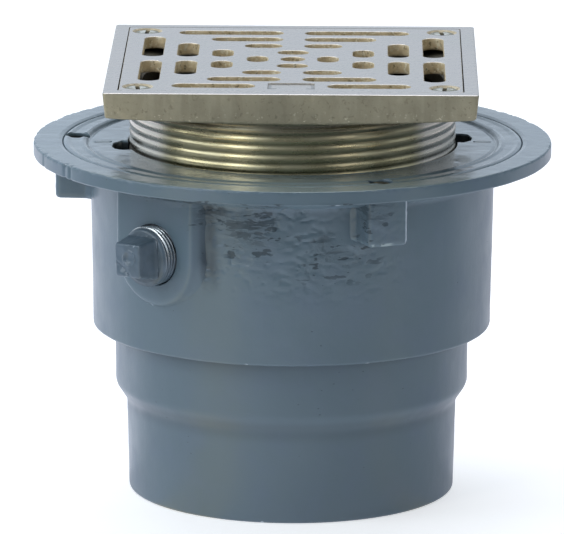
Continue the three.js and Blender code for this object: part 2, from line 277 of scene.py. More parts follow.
def make_object(name, points, faces, angle=32.0):
    mesh = bpy.data.meshes.new(name)
    mesh.from_pydata([tuple(v) for v in (np.asarray(points) * MM).tolist()], [], faces)
    mesh.validate()
    bm = bmesh.new()
    bm.from_mesh(mesh)
    bmesh.ops.remove_doubles(bm, verts=bm.verts, dist=1e-7)
    bmesh.ops.recalc_face_normals(bm, faces=bm.faces)
    bm.to_mesh(mesh)
    bm.free()
    ob = bpy.data.objects.new(name, mesh)
    bpy.context.scene.collection.objects.link(ob)
    shade(ob, angle)
    return ob


def grid_faces(rows, cols, wrap_rows):
    r = np.arange(rows if wrap_rows else rows - 1)
    rr, cc = np.meshgrid(r, np.arange(cols), indexing="ij")
    this_row, next_row = rr * cols, ((rr + 1) % rows) * cols
    next_col = (cc + 1) % cols
    corners = [this_row + cc, this_row + next_col, next_row + next_col, next_row + cc]
    return np.stack(corners, -1).reshape(-1, 4).tolist()


def grid_object(name, points, capped=False, angle=32.0):
    """Closed surface: the last row joins the first, or both are capped. Columns always close."""
    rows, cols = points.shape[:2]
    faces = grid_faces(rows, cols, wrap_rows=not capped)
    verts = points.reshape(-1, 3)
    if capped:
        n = len(verts)
        verts = np.vstack([verts, points[0].mean(0), points[-1].mean(0)])
        for k in range(cols):
            k1 = (k + 1) % cols
            faces.append([n, k1, k])
            faces.append([n + 1, (rows - 1) * cols + k, (rows - 1) * cols + k1])
    return make_object(name, verts, faces, angle)


def loft(outline, rows, wobble=0.0, name="tool"):
    """Capped body from a counter-clockwise outline and rows of (outward offset, height)."""
    points = stacked(outline, rows)
    if wobble:
        amount = wobble * (lumps(points, 1.3, 3) + 0.6 * lumps(points, 0.6, 4))
        points[..., :2] += outline_normals(outline)[None] * amount[..., None]
    return grid_object(name, points, capped=True)


def place(ob, matrix):
    ob.data.transform(matrix)
    ob.data.update()
    return ob


def apply_modifiers(ob):
    bpy.context.view_layer.update()
    depsgraph = bpy.context.evaluated_depsgraph_get()
    mesh = bpy.data.meshes.new_from_object(ob.evaluated_get(depsgraph))
    old = ob.data
    ob.modifiers.clear()
    ob.data = mesh
    mesh.name = old.name
    bpy.data.meshes.remove(old)


def boolean(ob, tools, operation):
    for tool in tools:
        modifier = ob.modifiers.new("b", "BOOLEAN")
        modifier.solver = "MANIFOLD"
        modifier.operation = operation
        modifier.object = tool
    apply_modifiers(ob)
    for tool in tools:
        mesh = tool.data
        bpy.data.objects.remove(tool)
        bpy.data.meshes.remove(mesh)


def tidy(ob, angle=32.0):
    """Merges the slivers a boolean leaves and shades the result again."""
    bm = bmesh.new()
    bm.from_mesh(ob.data)
    bmesh.ops.remove_doubles(bm, verts=bm.verts, dist=2e-6)
    bm.to_mesh(ob.data)
    bm.free()
    shade(ob, angle)


def weigh(ob):
    """Weights normals by face area, so flat faces stay flat beside rounded edges."""
    modifier = ob.modifiers.new("w", "WEIGHTED_NORMAL")
    modifier.mode = "FACE_AREA"
    modifier.keep_sharp = True
    apply_modifiers(ob)


def register(ob, piece, rides_with):
    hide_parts(piece)
    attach(ob, rides_with)
    return ob


# ------------------------------------------------------------------ drain body
SEAT_Z = COLLAR_UNDER - 0.3

# (radius, height, corner radius), up the outside and down the inside
BODY_OUTSIDE = [
    (61.6, 0, 0.5), (68.1, 0, 1.5), (69.0, 38.6, 6.0), (73.7, 45.6, 5.0), (73.8, 70.0, 1.0),
    (83.0, 70.0, 1.3), (84.2, 137.8, 4.2), (93.4, 138.0, 1.5), (99.5, FLANGE_UNDER, 1.5),
    (FLANGE_R, FLANGE_UNDER, 0.9), (FLANGE_R, FLANGE_TOP, 0.9), (97.6, FLANGE_TOP, 1.0),
    (COLLAR_RECESS_R, FLANGE_TOP - 0.55, 0.7), (COLLAR_RECESS_R, 146.0, 0.0),
]
BODY_INSIDE = [
    (COLLAR_RECESS_R, 146.0, 0), (COLLAR_RECESS_R, SEAT_Z, 0.5), (77.6, SEAT_Z, 0.8),
    (76.8, 78.0, 4.0), (74.0, 73.0, 3.0), (56.0, 65.6, 3.0), (50.8, 62.5, 2.0),
    (50.8, 58.5, 0.6), (60.4, 58.5, 0.5), (60.4, 40.2, 0.5), (62.6, 38.2, 0.3),
    (62.6, 7.0, 0.3), (60.9, 5.0, 0.3), (61.6, 0, 0),
]
# (x across, y outward, corner radius): flared at the wall, rounded at the outer end
LUG_PLAN = [
    (-10.9, 79.0, 0), (10.9, 79.0, 0), (10.6, 83.5, 0.0), (8.7, 86.0, 2.4),
    (8.7, 98.8, 2.0), (-8.7, 98.8, 2.4), (-8.7, 86.0, 2.4), (-10.6, 83.5, 0.0),
]
LUG_BOTTOM_EDGE = [(-2.4, 122.0), (-1.3, 122.05), (-0.6, 122.4), (-0.2, 123.0), (0, 123.9)]
LUG_TOP = 142.3
# (outward offset, distance from the axis): the pad flares into the wall
PAD_ROWS = [
    (3.4, 79.1), (2.9, 80.7), (1.9, 81.7), (1.15, 82.5), (0.6, 83.3), (0.2, 84.0),
    (-0.25, 84.6), (-0.8, 85.0), (-1.5, 85.22), (-2.4, PAD_FACE), (-3.2, PAD_FACE),
]
RIM_NICKS = ((-71.5, 0.55), (-59.3, 0.6), (-56.9, 0.4))     # angle, width in degrees


def casting_relief(points):
    """Unevenness of the outside of the body, in mm outwards."""
    r = np.hypot(points[..., 0], points[..., 1])
    angle = np.degrees(np.arctan2(points[..., 0], -points[..., 1]))
    z = points[..., 2]
    relief = 0.10 * lumps(points, 17, 1) + 0.05 * lumps(points, 5, 2)
    # pits and folds across the front below the flange
    zone = (smooth(-32, -24, angle) * smooth(38, 24, angle) * smooth(92, 112, z)
            * smooth(141.5, 139, z) * smooth(80, 82, r))
    wide, wider = (1.6, 1.6, 0.8), (1.8, 1.8, 0.8)
    pits = lumps(points, 2.6, 3, wide) + 0.5 * lumps(points, 1.3, 4, wide)
    fold = 1 - np.abs(lumps(points, 3.4, 6, wider) + 0.4 * lumps(points, 1.6, 7, wider))
    relief = (relief - 0.32 * zone * smooth(0.18, 0.7, pits) + 0.18 * zone * lumps(points, 6, 5)
              - 0.42 * zone * smooth(0.80, 1.0, fold) * smooth(-0.3, 0.3, lumps(points, 9, 2)))
    # a raised irregular patch beside the front lug
    patch = np.exp(-(((angle - 18.6) / 2.6) ** 2 + ((z - 120.6) / 2.6) ** 2))
    relief = relief + 0.9 * patch * (1 + 0.5 * lumps(points, 3, 6)) * (r > 80)
    # chips along the upper rim edge, nicks on its left
    edge = np.exp(-(((r - FLANGE_R) / 1.0) ** 2 + ((z - FLANGE_TOP) / 1.0) ** 2))
    relief = (relief - 0.5 * edge * smooth(0.15, 0.7, lumps(points, 3.1, 7))
              - 0.35 * edge * smooth(0.2, 0.8, lumps(points, 1.4, 8)))
    for nick, width in RIM_NICKS:
        relief = relief - 0.5 * np.exp(-((angle - nick) / width) ** 2) * smooth(105.5, 107, r)
    return relief * smooth(0, 3, z)


def body_shell():
    outside = rounded(BODY_OUTSIDE, 0.72, closed=False, arc=6)
    inside = rounded(BODY_INSIDE, 4.0, closed=False, arc=4)
    profile = np.vstack([outside[1:], inside[1:]])
    points = turned(profile, 840)
    angle = np.radians(np.degrees(np.arctan2(points[..., 0], -points[..., 1])))
    relief = casting_relief(points)
    relief[len(outside) - 1:] = 0
    normals = outline_normals(profile)
    push_out(points, relief * normals[:, 0][:, None], angle)
    points[..., 2] += relief * normals[:, 1][:, None]
    # keep within the drawn size
    points[..., 2] = np.maximum(points[..., 2], 0)
    r = np.hypot(points[..., 0], points[..., 1])
    points[..., :2] *= np.minimum(1, FLANGE_R / np.maximum(r, 1e-6))[..., None]
    points[..., 2] = np.minimum(points[..., 2], FLANGE_TOP)
    return grid_object("drain_body_casting", points)


def build_lug(index, angle):
    rows = LUG_BOTTOM_EDGE + [(0, z) for z in steps(LUG_BOTTOM_EDGE[-1][1], LUG_TOP, 24)]
    wobble = 0.14 if index == FRONT_BOLT else 0.07
    ob = loft(rounded(LUG_PLAN, 0.8, arc=6), rows, wobble)
    d = direction(angle)
    return place(ob, Matrix(((d[1], d[0], 0), (-d[0], d[1], 0), (0, 0, 1))).to_4x4())


def pad_arch(offset):
    """Half circle below, square above, with the same points at every offset."""
    half, top = 21.2 + offset, 141.7 - PLUG_Z + offset
    angles = [math.pi + math.pi * i / 60 for i in range(61)]
    points = [(half * math.cos(a), half * math.sin(a)) for a in angles]
    points += [(half, top * k / 16) for k in range(1, 17)]
    points += [(half - 2 * half * k / 20, top) for k in range(1, 21)]
    points += [(-half, top - top * k / 16) for k in range(1, 16)]
    return np.array(points)


def build_pad():
    rows = [at_height(pad_arch(offset), out) for offset, out in PAD_ROWS]
    rim = pad_arch(PAD_ROWS[-1][0])
    ring = rim / np.linalg.norm(rim, axis=1)[:, None] * 11.0
    for f in (0.25, 0.5, 0.75, 1.0):
        rows.append(at_height(rim * (1 - f) + ring * f, PAD_FACE))
    return place(grid_object("pad", np.array(rows), capped=True), pad_matrix())


def build_body():
    body = body_shell()
    lugs = [build_lug(i, angle) for i, angle in enumerate(BOLT_ANGLES)]
    boolean(body, lugs + [build_pad()], "UNION")

    # clear the collar recess of the lugs, then bore the pad and drill the lugs
    cuts = [loft(circle(COLLAR_RECESS_R, 180), [(0, SEAT_Z), (0, 147.6)])]
    bore = loft(circle(12.55, 64), [(0, 70), (0, 84.8), (0.5, 85.4), (0.5, 110)])
    cuts.append(place(bore, pad_matrix()))
    for angle in BOLT_ANGLES:
        hole = circle(3.4, 28, *(direction(angle) * BOLT_CIRCLE_R))
        cuts.append(loft(hole, [(0, 122.4), (0, 150)]))
    boolean(body, cuts, "DIFFERENCE")
    tidy(body)
    weigh(body)
    return register(body, "drain_body", "drain")


# ------------------------------------------------------------------ clamping collar
# (radius, height, corner radius)
COLLAR_PROFILE = [
    (68.6, 119.0, 0.4), (74.2, 119.0, 0.8), (74.2, COLLAR_UNDER, 1.4),
    (95.65, COLLAR_UNDER, 0.5), (95.65, COLLAR_TOP - 0.1, 1.0), (93.9, COLLAR_TOP + 0.38, 0.8),
    (92.2, COLLAR_TOP - 0.15, 1.0), (88.8, COLLAR_TOP - 0.15, 1.0),
    (87.3, COLLAR_TOP + 0.36, 0.6), (86.1, COLLAR_TOP - 0.1, 0.6),
    (84.9, COLLAR_TOP - 1.15, 0.7), (83.4, COLLAR_TOP - 0.65, 0.8),
    (68.6, COLLAR_TOP - 0.5, 0.7),
]
# (x, y, corner radius) of the notch on the +X side
NOTCH_PLAN = [
    (60, 0.6, 0), (71.2, 0.6, 0.0), (74.4, 4.6, 2.2), (74.9, 11.0, 3.0),
    (73.6, 17.0, 2.6), (70.6, 18.8, 1.0), (60, 18.8, 0),
]
NOTCH_BOTTOM = 138.6
NOTCH_ROWS = (
    [(0, NOTCH_BOTTOM)] + [(0, z) for z in steps(NOTCH_BOTTOM, COLLAR_TOP - 1.1, 7)]
    + [(0.12, COLLAR_TOP - 0.8), (0.35, COLLAR_TOP - 0.55), (0.7, COLLAR_TOP - 0.3), (0.7, 151)]
)
BOLT_POCKET_ROWS = [
    (0, BOLT_SHELF), (0, COLLAR_TOP - 0.6), (0.15, COLLAR_TOP - 0.3),
    (0.5, COLLAR_TOP + 0.05), (0.5, 151),
]
RIB_ROWS = [
    (0.3, 144.5), (0.3, COLLAR_TOP - 0.62), (0.12, COLLAR_TOP - 0.5),
    (-0.15, COLLAR_TOP - 0.38), (-0.35, COLLAR_TOP - 0.34),
]


def build_collar():
    points = turned(rounded(COLLAR_PROFILE, 0.8, arc=6), 720)
    r = np.hypot(points[..., 0], points[..., 1])
    top = (smooth(COLLAR_TOP - 2, COLLAR_TOP - 0.9, points[..., 2])
           * smooth(69.3, 71, r) * smooth(95.5, 94.6, r))
    points[..., 2] += top * (0.09 * lumps(points, 14, 1) + 0.07 * lumps(points, 4, 2) - 0.06)
    ob = grid_object("clamping_collar_casting", points)
    cuts = []
    for angle in BOLT_ANGLES:
        centre = direction(angle) * BOLT_CIRCLE_R
        cuts.append(loft(circle(3.5, 36, *centre), [(0, 130), (0, 150)]))
        cuts.append(loft(circle(4.95, 48, *centre), BOLT_POCKET_ROWS))
    # notches on two opposite sides, and a small rib outside each
    notch = rounded(NOTCH_PLAN, 0.9)
    cuts += [loft(plan, NOTCH_ROWS, wobble=0.28) for plan in (notch, -notch)]
    boolean(ob, cuts, "DIFFERENCE")
    rib = round_rect(3.6, 0.55, 0.5, 79.0, 2.4)
    boolean(ob, [loft(plan, RIB_ROWS) for plan in (rib, -rib)], "UNION")
    tidy(ob)
    weigh(ob)
    return register(ob, "clamping_collar", "collar")


# ------------------------------------------------------------------ strainer frame and shank
FRAME_COUNTS = (150, 7)         # points per side, points per corner
OPENING_HALF = 70.8             # square opening that holds the grate
SHANK_TOP_R = 68.6
SHANK_BORE_R = 62.4
THREAD_PITCH = 3.85
THREAD_CREST, THREAD_ROOT = 68.0, 67.62
# (inset, corner radius, drop below the top) over the upper edge
FRAME_TOP_EDGE = (
    (3.0, 1.4, 0), (1.4, 1.3, 0), (0.75, 1.25, 0.01), (0.38, 1.2, 0.07),
    (0.12, 1.2, 0.24), (0.02, 1.2, 0.5),
)
# (inset, corner radius, rise above the underside) round the lower edge
FRAME_BOTTOM_EDGE = ((1.05, 1.3, 0.6), (1.35, 1.4, 0.25), (1.8, 1.6, 0.05), (2.4, 1.8, 0))
# (half width, corner radius, drop below the top) of the ledge and walls of the opening
FRAME_OPENING = (
    [(65.9, 3.0, GRATE_T + 0.32), (68.5, 2.0, GRATE_T + 0.3), (70.6, 1.7, GRATE_T + 0.3),
     (OPENING_HALF, 1.6, GRATE_T + 0.1)]
    + [(OPENING_HALF, 1.6, drop) for drop in steps(GRATE_T + 0.1, 0.3, 4)]
    + [(OPENING_HALF - 0.08, 1.6, 0.15), (OPENING_HALF - 0.2, 1.6, 0.03)]
)


def plate_rows():
    """Rows over the top and down the sides; returns them with the first and last side row."""
    top = PLATE_TOP
    along = np.array((side_places(FRAME_COUNTS[0]) + [1.0] * FRAME_COUNTS[1]) * 4)
    thick = 10.9 + 2.1 * (1 - along ** 2)       # deepest at the middle of each side
    bottom = top - thick
    rows = []

    def square(half, corner, z):
        rows.append(at_height(rounded_square(half, corner, FRAME_COUNTS), z))

    square(OPENING_HALF - 0.30, 1.6, top)
    square(OPENING_HALF + 0.9, 1.6, top)
    for inset, corner, drop in FRAME_TOP_EDGE:
        square(PLATE_HALF - inset, corner, top - drop)
    first_side = len(rows) - 1
    for f in steps(0, 1, 20):
        square(PLATE_HALF - (0.02 + 0.9 * f), 1.2, top - 0.5 - (thick - 0.5 - 1.0) * f)
    for inset, corner, rise in FRAME_BOTTOM_EDGE:
        square(PLATE_HALF - inset, corner, bottom + rise)
    last_side = len(rows) - 1

    # underside, hollowed in the corners, running in to the shank
    outer = rounded_square(PLATE_HALF - 2.4, 1.8, FRAME_COUNTS)
    inner = unit_circle(FRAME_COUNTS) * SHANK_TOP_R
    gap = np.linalg.norm(outer, axis=1) - SHANK_TOP_R
    hollow = np.clip((gap - 7) / 22, 0, 1) * 4.4
    for s in (0.10, 0.16, 0.22, 0.30, 0.42, 0.56, 0.70, 0.78, 0.86, 0.93):
        depth = float(smooth(0.10, 0.26, s) * (1 - smooth(0.72, 0.92, s)))
        z = bottom * (1 - s) + (top - 13.1) * s + hollow * depth
        rows.append(at_height(outer * (1 - s) + inner * s, z))
    return rows, first_side, last_side


def shank_rows():
    """Rows down the thread and up the bore."""
    unit = unit_circle(FRAME_COUNTS)
    shank = unit * SHANK_TOP_R
    turn = np.arctan2(shank[:, 1], shank[:, 0]) / TAU
    start, end = PLATE_TOP - 13.3, SHANK_BOTTOM + 0.8
    rows = []
    for z in [start] + steps(start, end, 176):
        from_crest = np.abs((z / THREAD_PITCH - turn + 0.5) % 1.0 - 0.5) * 2
        form = 0.5 + 0.5 * np.cos(math.pi * from_crest ** 1.15)
        fade = float(smooth(SHANK_BOTTOM + 0.6, SHANK_BOTTOM + 3.2, z))
        radius = THREAD_ROOT + (THREAD_CREST - THREAD_ROOT) * form * fade
        rows.append(circle_row(unit, radius, z))
    for radius, rise in ((65.4, 0.2), (64.9, 0), (63.0, 0), (SHANK_BORE_R, 0.6)):
        rows.append(circle_row(unit, radius, SHANK_BOTTOM + rise))
    for z in steps(SHANK_BOTTOM + 0.6, PLATE_TOP - 9.2, 8):
        rows.append(circle_row(unit, SHANK_BORE_R, z))
    rows.append(circle_row(unit, 62.6, PLATE_TOP - 8.6))
    return rows


def tray_rows():
    """Rows from the round bore out to the square opening and up its walls."""
    ring = unit_circle(FRAME_COUNTS) * 63.0
    square = rounded_square(65.5, 3.0, FRAME_COUNTS)
    rows = [at_height(ring * (1 - s) + square * s, PLATE_TOP - 8.3 + 2.5 * s)
            for s in (0.0, 0.25, 0.5, 0.75, 1.0)]
    for half, corner, drop in FRAME_OPENING:
        rows.append(at_height(rounded_square(half, corner, FRAME_COUNTS), PLATE_TOP - drop))
    return rows


def roughen_sides(sides):
    """Cast unevenness, inwards only, with small nicks towards the lower edge."""
    d = (0.10 * lumps(sides, 4.5, 2) + 0.11 * lumps(sides, 1.5, 3)
         - 0.28 * smooth(0.42, 0.85, lumps(sides, 1.4, 5)))
    low = np.linspace(0, 1, len(sides))[:, None] ** 5
    d = d - 0.5 * low * smooth(0.2, 0.75, lumps(sides, 2.1, 6))
    fade = smooth(0, 2.0, np.arange(len(sides)))[:, None]
    normals = outline_normals(rounded_square(PLATE_HALF, 1.2, FRAME_COUNTS))
    sides[..., :2] += normals[None] * np.minimum(d * fade, 0.0)[..., None]


def build_frame():
    rows, first_side, last_side = plate_rows()
    points = np.array(rows + shank_rows() + tray_rows())
    roughen_sides(points[first_side:last_side])
    ob = grid_object("strainer_frame_casting", points)
    top = PLATE_TOP
    post_rows = [(-0.6, top - 10.4), (0, top - 9.9), (0, top - GRATE_T - 0.9),
                 (-0.4, top - GRATE_T - 0.6)]
    boolean(ob, [loft(circle(6.3, 36, x, y), post_rows) for x, y in SCREWS], "UNION")
    holes = [loft(circle(3.2, 28, x, y), [(0, 150), (0, 190)]) for x, y in SCREWS]
    boolean(ob, holes, "DIFFERENCE")
    tidy(ob)
    weigh(ob)
    return register(ob, "strainer_frame", "head")


# ------------------------------------------------------------------ grate
GRATE_HALF = 70.4
GRATE_BOTTOM = PLATE_TOP - GRATE_T
PANEL_Y = -4 * SLOT_PITCH - 0.2
SLOT_HALF_WIDTH = 8.7 / 2
SLOT_ENDS = {4: 48.7, 3: 34.6, 2: 20.4}     # ring: far end of its slots
# (outward offset, height)
GRATE_ROWS = [
    (-0.5, GRATE_BOTTOM), (-0.15, GRATE_BOTTOM + 0.1), (0, GRATE_BOTTOM + 0.5),
    (0, PLATE_TOP - 0.35), (-0.06, PLATE_TOP - 0.16), (-0.18, PLATE_TOP - 0.05),
    (-0.4, PLATE_TOP),
]
SLOT_ROWS = (
    [(0.35, GRATE_BOTTOM - 0.6), (0.30, GRATE_BOTTOM), (0.0, GRATE_BOTTOM + 0.35)]
    + [(0.02, z) for z in steps(GRATE_BOTTOM + 0.35, PLATE_TOP - 0.5, 7)]
    + [(0.07, PLATE_TOP - 0.32), (0.16, PLATE_TOP - 0.14), (0.30, PLATE_TOP - 0.04),
       (0.42, PLATE_TOP + 0.002), (0.46, PLATE_TOP + 0.5)]
)
COUNTERSINK_ROWS = [
    (2.4, GRATE_BOTTOM - 1), (2.4, PLATE_TOP - 3.4), (4.95, PLATE_TOP - 0.5),
    (5.15, PLATE_TOP - 0.3), (5.5, PLATE_TOP + 0.05), (5.5, PLATE_TOP + 1),
]
PANEL_ROWS = [
    (-0.5, PLATE_TOP - 0.5), (-0.15, PLATE_TOP - 0.44), (0, PLATE_TOP - 0.3),
    (0.05, PLATE_TOP - 0.12), (0.25, PLATE_TOP + 0.01), (0.25, PLATE_TOP + 1),
]


def slot_box(side, ring, start, end):
    """x0, x1, y0, y1 of a slot; sides 0 to 3 are front, right, back and left."""
    near = ring * SLOT_PITCH - SLOT_HALF_WIDTH
    far = ring * SLOT_PITCH + SLOT_HALF_WIDTH
    return ((start, end, -far, -near), (near, far, start, end),
            (start, end, near, far), (-far, -near, start, end))[side]


def slot_cutter(x0, x1, y0, y1):
    outline = stadium(x0, x1, y0, y1)
    points = stacked(outline, SLOT_ROWS)
    z = points[..., 2]
    wall = (smooth(GRATE_BOTTOM, GRATE_BOTTOM + 0.8, z)
            * smooth(PLATE_TOP - 0.25, PLATE_TOP - 0.9, z))
    rough = 0.16 * lumps(points, 1.5, 4) + 0.10 * lumps(points, 0.8, 5)
    lip = 0.06 * lumps(points, 1.7, 6) * (1 - wall)
    points[..., :2] += outline_normals(outline)[None] * (rough * wall + lip)[..., None]
    return grid_object("tool", points, capped=True)


def build_grate():
    outline = round_rect(GRATE_HALF, GRATE_HALF, 1.3, step=3.0)
    # the side gaps open very slightly towards the front
    back = (outline[:, 1] + GRATE_HALF) / (2 * GRATE_HALF)
    outline[:, 0] *= 1 - 0.0022 - 0.0034 * (1 - back)
    outline[:, 1] *= 0.9985
    ob = loft(outline, GRATE_ROWS, name="strainer_grate_plate")
    cuts = []
    for side in range(4):
        for ring, end in SLOT_ENDS.items():
            # the outer front slots leave room for the panel
            start = 14.8 if side == 0 and ring == 4 else 4.6
            cuts.append(slot_cutter(*slot_box(side, ring, start, end)))
            cuts.append(slot_cutter(*slot_box(side, ring, -end, -start)))
        cuts.append(slot_cutter(*slot_box(side, 1, -6.45, 6.45)))
    # round centre hole, a hair wider than deep
    cuts.append(slot_cutter(-5.001, 5.0, -5.0, 5.0))
    cuts += [loft(circle(1.0, 48, x, y), COUNTERSINK_ROWS) for x, y in SCREWS]
    # plain recessed panel at the front
    cuts.append(loft(round_rect(9.4, 6.3, 1.4, 0, PANEL_Y), PANEL_ROWS))
    boolean(ob, cuts, "DIFFERENCE")
    tidy(ob, angle=24)
    weigh(ob)
    return register(ob, "strainer_grate", "grate")


# ------------------------------------------------------------------ screws and bolts
FASTENER_PITCH = 1.27


def turn_fastener(name, profile, step, thread, slot_half, slot_rows, centre, turn):
    """Slotted screw; thread = (upper fade, lower fade, radius it must lie outside)."""
    points = turned(rounded(profile, step, closed=False, arc=6), 48)
    upper, lower, core = thread
    r = np.hypot(points[..., 0], points[..., 1])
    angle = np.arctan2(points[..., 0], -points[..., 1])
    z = points[..., 2]
    shank = smooth(*upper, z) * smooth(*lower, z) * (r > core)
    f = (z / FASTENER_PITCH + angle / TAU) % 1.0
    push_out(points, -0.55 * shank * smooth(0.15, 0.95, np.abs(f - 0.5) * 2), angle)
    ob = grid_object(name, points, capped=True, angle=35)
    boolean(ob, [loft(round_rect(slot_half, 8, 0.1), slot_rows)], "DIFFERENCE")
    tidy(ob, angle=35)
    move = Matrix.Translation(Vector((centre[0] * MM, centre[1] * MM, 0)))
    return place(ob, move @ Matrix.Rotation(math.radians(turn), 4, "Z"))


def build_screws():
    top = SCREW_TOP
    # (radius, height, corner radius)
    profile = [
        (0.4, top - 8.7, 0), (2.2, top - 8.7, 0.3), (2.9, top - 8.0, 0.2), (2.9, top - 3.1, 0.2),
        (4.95, top - 0.6, 0.15), (4.8, top - 0.1, 0.4), (0.4, top + 0.02, 0),
    ]
    thread = ((top - 3.4, top - 3.9), (top - 8.5, top - 7.9), 2.5)
    slot_rows = [(-0.12, top - 1.55), (0, top - 1.35), (0, top - 0.12),
                 (0.16, top + 0.03), (0.16, top + 2)]
    screws = []
    for i, (centre, turn) in enumerate(zip(SCREWS, (4, -3, 5, -4)), start=1):
        ob = turn_fastener("grate_screw_%d_turned" % i, profile, 0.35, thread,
                           0.85, slot_rows, centre, turn)
        screws.append(register(ob, "grate_screw_%d" % i, "screw_%d" % i))
    return screws


def build_bolts():
    shelf = BOLT_SHELF
    thread = ((shelf - 1.0, shelf - 2.0), (shelf - 19.5, shelf - 18.5), 2.6)
    bolts = []
    for i, angle in enumerate(BOLT_ANGLES):
        # the front head carries a thick blob of coating
        top = shelf + (4.1 if i == FRONT_BOLT else 2.6)
        profile = [
            (0.4, shelf - 20, 0), (2.2, shelf - 20, 0.3), (3.1, shelf - 19, 0.2),
            (3.1, shelf + 0.05, 0.1), (4.55, shelf + 0.05, 0.2), (4.55, top - 0.75, 0.6),
            (3.4, top - 0.15, 1.0), (0.4, top, 0),
        ]
        slot_rows = [(-0.1, top - 1.3), (0, top - 1.1), (0, shelf + 6)]
        ob = turn_fastener("collar_bolt_%d_turned" % (i + 1), profile, 0.5, thread,
                           0.75, slot_rows, direction(angle) * BOLT_CIRCLE_R, 20 + 57 * i)
        bolts.append(register(ob, "collar_bolt_%d" % (i + 1), "bolt_%d" % (i + 1)))
    return bolts


# ------------------------------------------------------------------ primer plug and gasket
PLUG_COUNTS = (30, 5)               # points per side, points per corner
PLUG_R = 12.2
PLUG_INSERT = 8.2                   # length behind the pad face
PLUG_PITCH = 1.81
PLUG_END = PLUG_INSERT + 15.8       # outer face of the square
SQUARE_BASE, SQUARE_END = 8.15, 6.95    # half widths; the square tapers outwards
DIMPLE = np.array([0.9, 1.0])       # centre of the hollow in the outer face


def plug_rows():
    """Rows along the plug from its inner end: thread, square, hollow in the outer face."""
    unit = unit_circle(PLUG_COUNTS)
    turn = np.arctan2(unit[:, 1], unit[:, 0]) / TAU
    # the thread is shallow at one side, where the coating fills it
    side = unit[:, 1] * 0.9 + unit[:, 0] * 0.5
    bare = 0.25 + 0.75 * smooth(-4.0, 5.0, 12 * side)
    shoulder = PLUG_INSERT
    rows = [circle_row(unit, 4.0, 0.0), circle_row(unit, PLUG_R - 1.9, 0.0)]
    for z in [0.3] + steps(0.3, shoulder + 5.7, 60):
        radius = min(PLUG_R - 0.75 + 0.68 * z / shoulder, PLUG_R + 0.25)
        f = (z / PLUG_PITCH - turn) % 1.0
        form = 1 - smooth(0.15, 0.95, np.abs(f - 0.5) * 2)
        fade = smooth(0.2, 1.2, z) * (1 - 0.9 * smooth(shoulder + 4.9, shoulder + 5.7, z))
        rows.append(circle_row(unit, radius - 1.05 * bare * (1 - form * fade), z))
    for inset, rise in ((0.9, 5.9), (1.2, 6.2), (1.8, 6.4), (3.2, 6.45)):
        rows.append(circle_row(unit, PLUG_R - inset, shoulder + rise))

    def square(half, corner, z):
        rows.append(at_height(rounded_square(half, corner, PLUG_COUNTS), z))

    foot = rounded_square(SQUARE_BASE + 0.45, 1.9, PLUG_COUNTS)
    rows.append(at_height(unit * (PLUG_R - 3.2) * 0.4 + foot * 0.6, shoulder + 6.5))
    rows.append(at_height(foot, shoulder + 6.7))
    square(SQUARE_BASE + 0.05, 1.3, shoulder + 7.4)
    for half, z in zip(steps(SQUARE_BASE, SQUARE_END, 11),
                       steps(shoulder + 7.4, PLUG_END - 0.8, 11)):
        square(half, 1.1, z)
    for inset, corner, drop in ((0.18, 1.1, 0.40), (0.5, 1.2, 0.12), (1.1, 1.4, 0)):
        square(SQUARE_END - inset, corner, PLUG_END - drop)
    # half way from square to circle, drifting towards the dimple
    for size, drift in ((5.2, 0.15), (4.7, 0.4), (4.2, 0.65), (3.7, 0.9)):
        ring = rounded_square(size, min(1.6, size * 0.5), PLUG_COUNTS) * 0.5 + unit * size * 0.5
        rows.append(at_height(ring + DIMPLE * drift, PLUG_END))
    for radius, depth in ((3.3, 0.0), (2.9, 0.15), (2.5, 0.5), (1.9, 0.9), (1.2, 1.1), (0.5, 1.15)):
        rows.append(at_height(unit * radius + DIMPLE, PLUG_END - depth))
    return np.array(rows)


def roughen_plug(points):
    """Cast unevenness of the square, with a fold across one lower corner of its face."""
    before = points.copy()
    x, y, z = before[..., 0], before[..., 1], before[..., 2]
    head = smooth(PLUG_INSERT + 6.2, PLUG_INSERT + 7.4, z)
    relief = (0.16 * lumps(before + 50, 3.2, 1) + 0.10 * lumps(before + 50, 1.4, 2)) * head
    fold_line = -x * 0.62 - y * 0.78
    crease = (np.exp(-((fold_line - 4.6) / 0.6) ** 2)
              * smooth(PLUG_END - 3.5, PLUG_END - 1, z))
    relief = relief - 0.5 * crease
    outward = before[..., :2] / np.maximum(np.hypot(x, y), 1e-6)[..., None]
    wall = smooth(PLUG_END - 0.3, PLUG_END - 0.9, z)
    points[..., :2] += outward * (relief * (0.3 + 0.7 * wall))[..., None]
    face = smooth(PLUG_END - 0.2, PLUG_END - 0.02, z)
    from_dimple = np.hypot(points[..., 0] - DIMPLE[0], points[..., 1] - DIMPLE[1])
    sink = (0.25 * lumps(before + 80, 2.4, 3) - 0.15 - 0.8 * crease) * face
    points[..., 2] += np.minimum(sink * (from_dimple > 3.4), 0.0)


def build_plug():
    points = plug_rows()
    roughen_plug(points)
    ob = grid_object("primer_plug_casting", points, capped=True, angle=40)
    inwards = Matrix.Translation(Vector((0, 0, (PAD_FACE - PLUG_INSERT) * MM)))
    place(ob, pad_matrix() @ inwards @ Matrix.Rotation(math.radians(3), 4, "Z"))
    return register(ob, "primer_plug", "plug")


def build_gasket():
    # (radius, height, corner radius)
    profile = [
        (57.6, 7.6, 0.8), (62.35, 7.4, 0.5), (62.35, 37.6, 0.5), (58.6, 38.2, 0.8),
        (58.2, 30.0, 0.6), (56.8, 27.0, 0.5), (58.2, 24.0, 0.6), (58.2, 16.0, 0.6),
        (56.8, 13.0, 0.5),
    ]
    ob = grid_object("outlet_gasket_ring", turned(rounded(profile, 2.5, arc=4), 240))
    return register(ob, "outlet_gasket", "drain")


